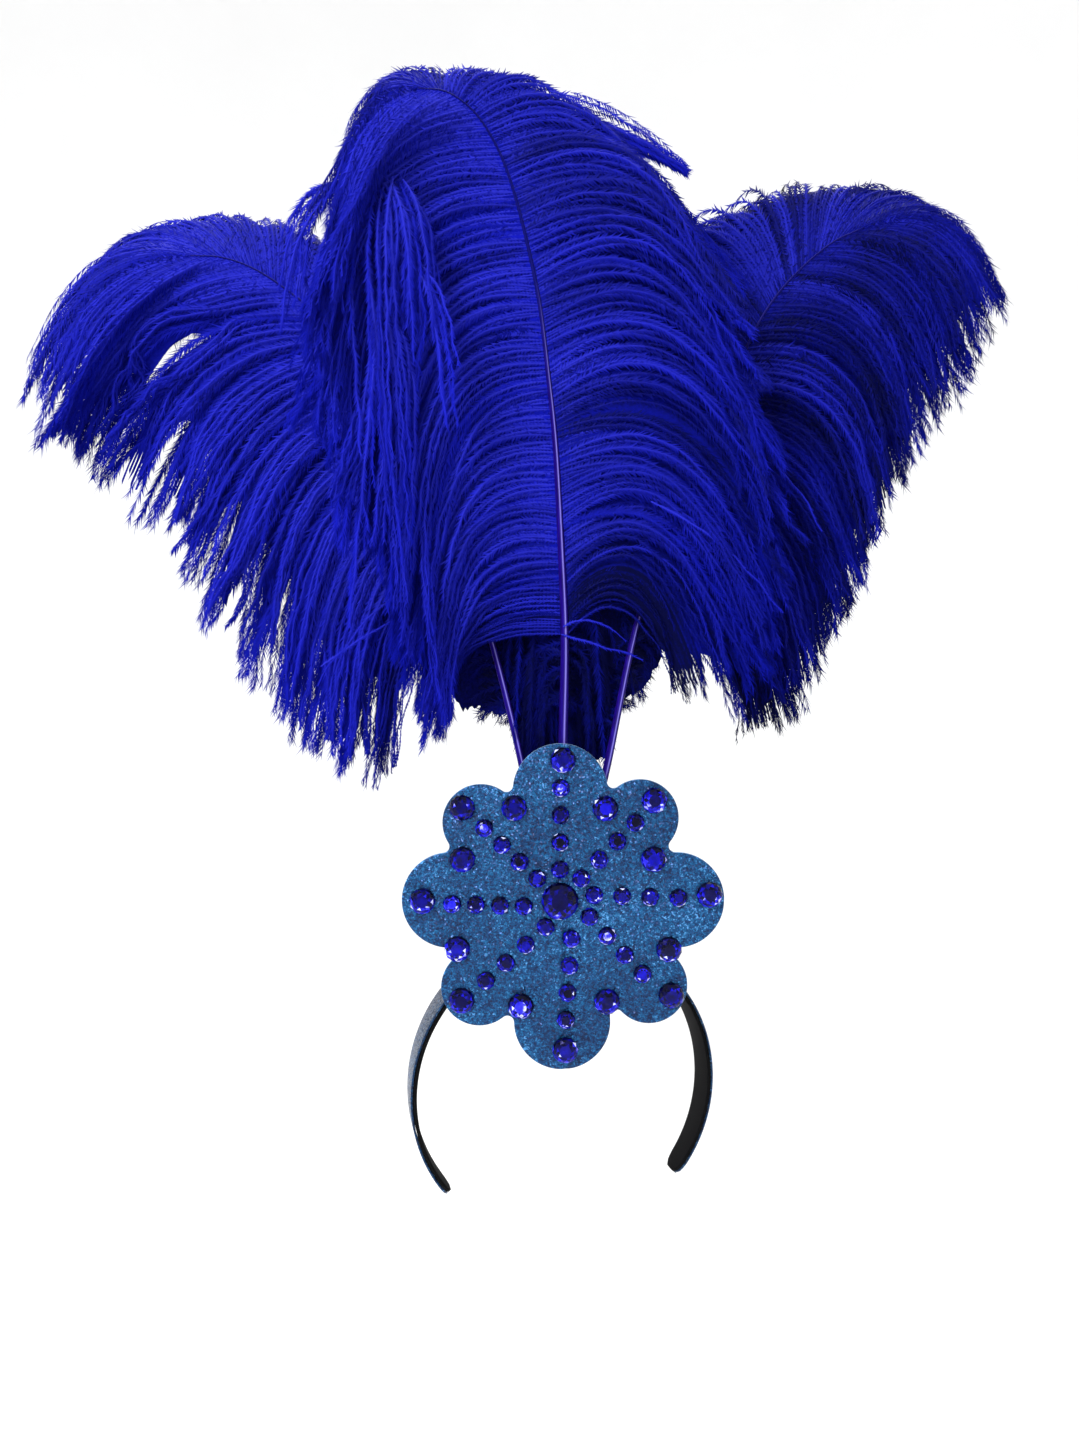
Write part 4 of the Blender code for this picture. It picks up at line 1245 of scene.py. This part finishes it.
def make_band_strip(name, node, inner, thickness, full_width, soft, material, slot):
    """An arched strip round the Y axis with softened edges, in the place of its node."""
    corners = [(-1, -1), (1, -1), (1, 1), (-1, 1)]
    sides = len(BAND_CORNER_TURNS) * len(corners)
    yaw_cos, yaw_sin = math.cos(BAND_YAW), math.sin(BAND_YAW)
    points = []
    for i in range(BAND_STATIONS + 1):
        share = 2 * i / BAND_STATIONS - 1
        angle = share * BAND_HALF_ANGLE
        half = band_half_width(abs(share), full_width)
        for k, (u, v) in enumerate(corners):
            for turn in BAND_CORNER_TURNS:
                way = math.radians(turn + 90 * k + 180)
                y = u * (half - soft) + soft * math.cos(way)
                radius = inner + thickness / 2 + (v * (thickness / 2 - soft) + soft * math.sin(way))
                x, z = radius * math.sin(angle), radius * math.cos(angle) - BAND_INNER_RADIUS
                points.append((x * yaw_cos - y * yaw_sin, x * yaw_sin + y * yaw_cos, z))
    faces = []
    for i in range(BAND_STATIONS):
        faces += ring_quads(i * sides, (i + 1) * sides, sides)
    faces.append(tuple(range(sides)))
    faces.append(tuple(reversed(range(BAND_STATIONS * sides, (BAND_STATIONS + 1) * sides))))
    strip = add_piece(name, points, faces, material)
    strip.data.set_sharp_from_angle(angle=BAND_SHARP)
    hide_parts(node)


# Stage, lights and camera


def make_stage(material):
    """A round floor whose rim sweeps up into a wall, so that the ground is pale from every side."""
    profile = [(FLOOR_FLAT_RADIUS * 0.5, 0.0), (FLOOR_FLAT_RADIUS, 0.0)]
    sweep = FLOOR_WALL_RADIUS - FLOOR_FLAT_RADIUS
    for turn in range(10, 91, 10):
        angle = math.radians(turn)
        profile.append((FLOOR_FLAT_RADIUS + sweep * math.sin(angle), sweep * (1 - math.cos(angle))))
    profile.append((FLOOR_WALL_RADIUS, FLOOR_WALL_TOP))
    sides = FLOOR_SIDES
    points = [(0.0, 0.0, FLOOR_HEIGHT)]
    for radius, height in profile:
        points += circle(radius, sides, FLOOR_HEIGHT + height)
    faces = fan(0, 1, sides)
    for row in range(len(profile) - 1):
        faces += ring_quads(1 + row * sides, 1 + (row + 1) * sides, sides)
    mesh = bpy.data.meshes.new("floor")
    mesh.from_pydata(points, [], faces)
    mesh.shade_smooth()
    mesh.materials.append(material)
    floor = link_object("floor", mesh)


def make_lights():
    for name, (place, aim, size, power) in LIGHTS.items():
        light = bpy.data.lights.new(name, "AREA")
        light.shape = "SQUARE"
        light.size = size
        light.energy = power
        item = link_object(name, light)
        item.location = place
        item.rotation_euler = (Vector(aim) - Vector(place)).to_track_quat("-Z", "Y").to_euler()
    world = bpy.data.worlds.new("studio")
    world.use_nodes = True
    backdrop = world.node_tree.nodes["Background"]
    set_inputs(world.node_tree, backdrop, {"Color": (1.0,) * 4, "Strength": 1.0})
    bpy.context.scene.world = world


def make_camera():
    camera = bpy.data.cameras.new("camera")
    camera.sensor_fit = "VERTICAL"
    camera.sensor_height = SENSOR_HEIGHT
    camera.lens = SENSOR_HEIGHT * FOCAL_PIXELS / FRAME_HEIGHT
    camera.clip_start = 0.01
    item = link_object("camera", camera)
    item.location = CAMERA_PLACE
    item.rotation_euler = (math.pi / 2, 0, 0)
    bpy.context.scene.camera = item
    bpy.context.scene.view_settings.view_transform = "Standard"


def main():
    make_camera()
    make_lights()
    make_stage(stage_material())
    feather, horn = feather_material(), quill_material()
    lines = {name: smooth_line(path, QUILL_POINTS) for name, path in QUILL_PATHS.items()}
    for name, line in lines.items():
        make_quill(name, line, horn)
        for side in (-1, 1):
            grow_side(name, side, line, feather)
    grow_down(lines, feather)
    grow_loose(feather)
    make_plate(glitter_material("glitter_blue", *PLATE_GLITTER), foam_edge_material())
    stone = stone_material()
    make_stones("stones_middle", "centre", ["stone_centre"], stone)
    petal_nodes = [f"stone_{kind}_{i}" for kind in ("tip", "valley") for i in range(1, 9)]
    make_stones("stones_petal", "petal", petal_nodes, stone)
    make_stones("stones_small", "small", [f"stone_small_{i}" for i in range(1, 33)], stone)
    black_band = black_material("band_black", *BAND_BLACK)
    felt = black_material("felt_black", *FELT_BLACK)
    core = (BAND_INNER_RADIUS, BAND_CORE, BAND_WIDTH, BAND_SOFT)
    make_band_strip("band_inner", "headband", *core, black_band, "black_band")
    # painted shade: the band's glitter is a darker copy of the flower's
    shaded_glitter = glitter_material("glitter_band_shaded", *BAND_SHADED_GLITTER)
    cover_radius = BAND_INNER_RADIUS + BAND_CORE + BAND_GAP
    cover = (cover_radius, BAND_COVER, BAND_WIDTH - 2 * COVER_INSET, COVER_SOFT)
    make_band_strip("band_cover", "headband_cover", *cover, shaded_glitter, "blue_glitter")
    for node in ("plume_mount", "plate_backing"):
        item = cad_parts[node]
        item.data.materials.clear()
        item.data.materials.append(felt)


main()
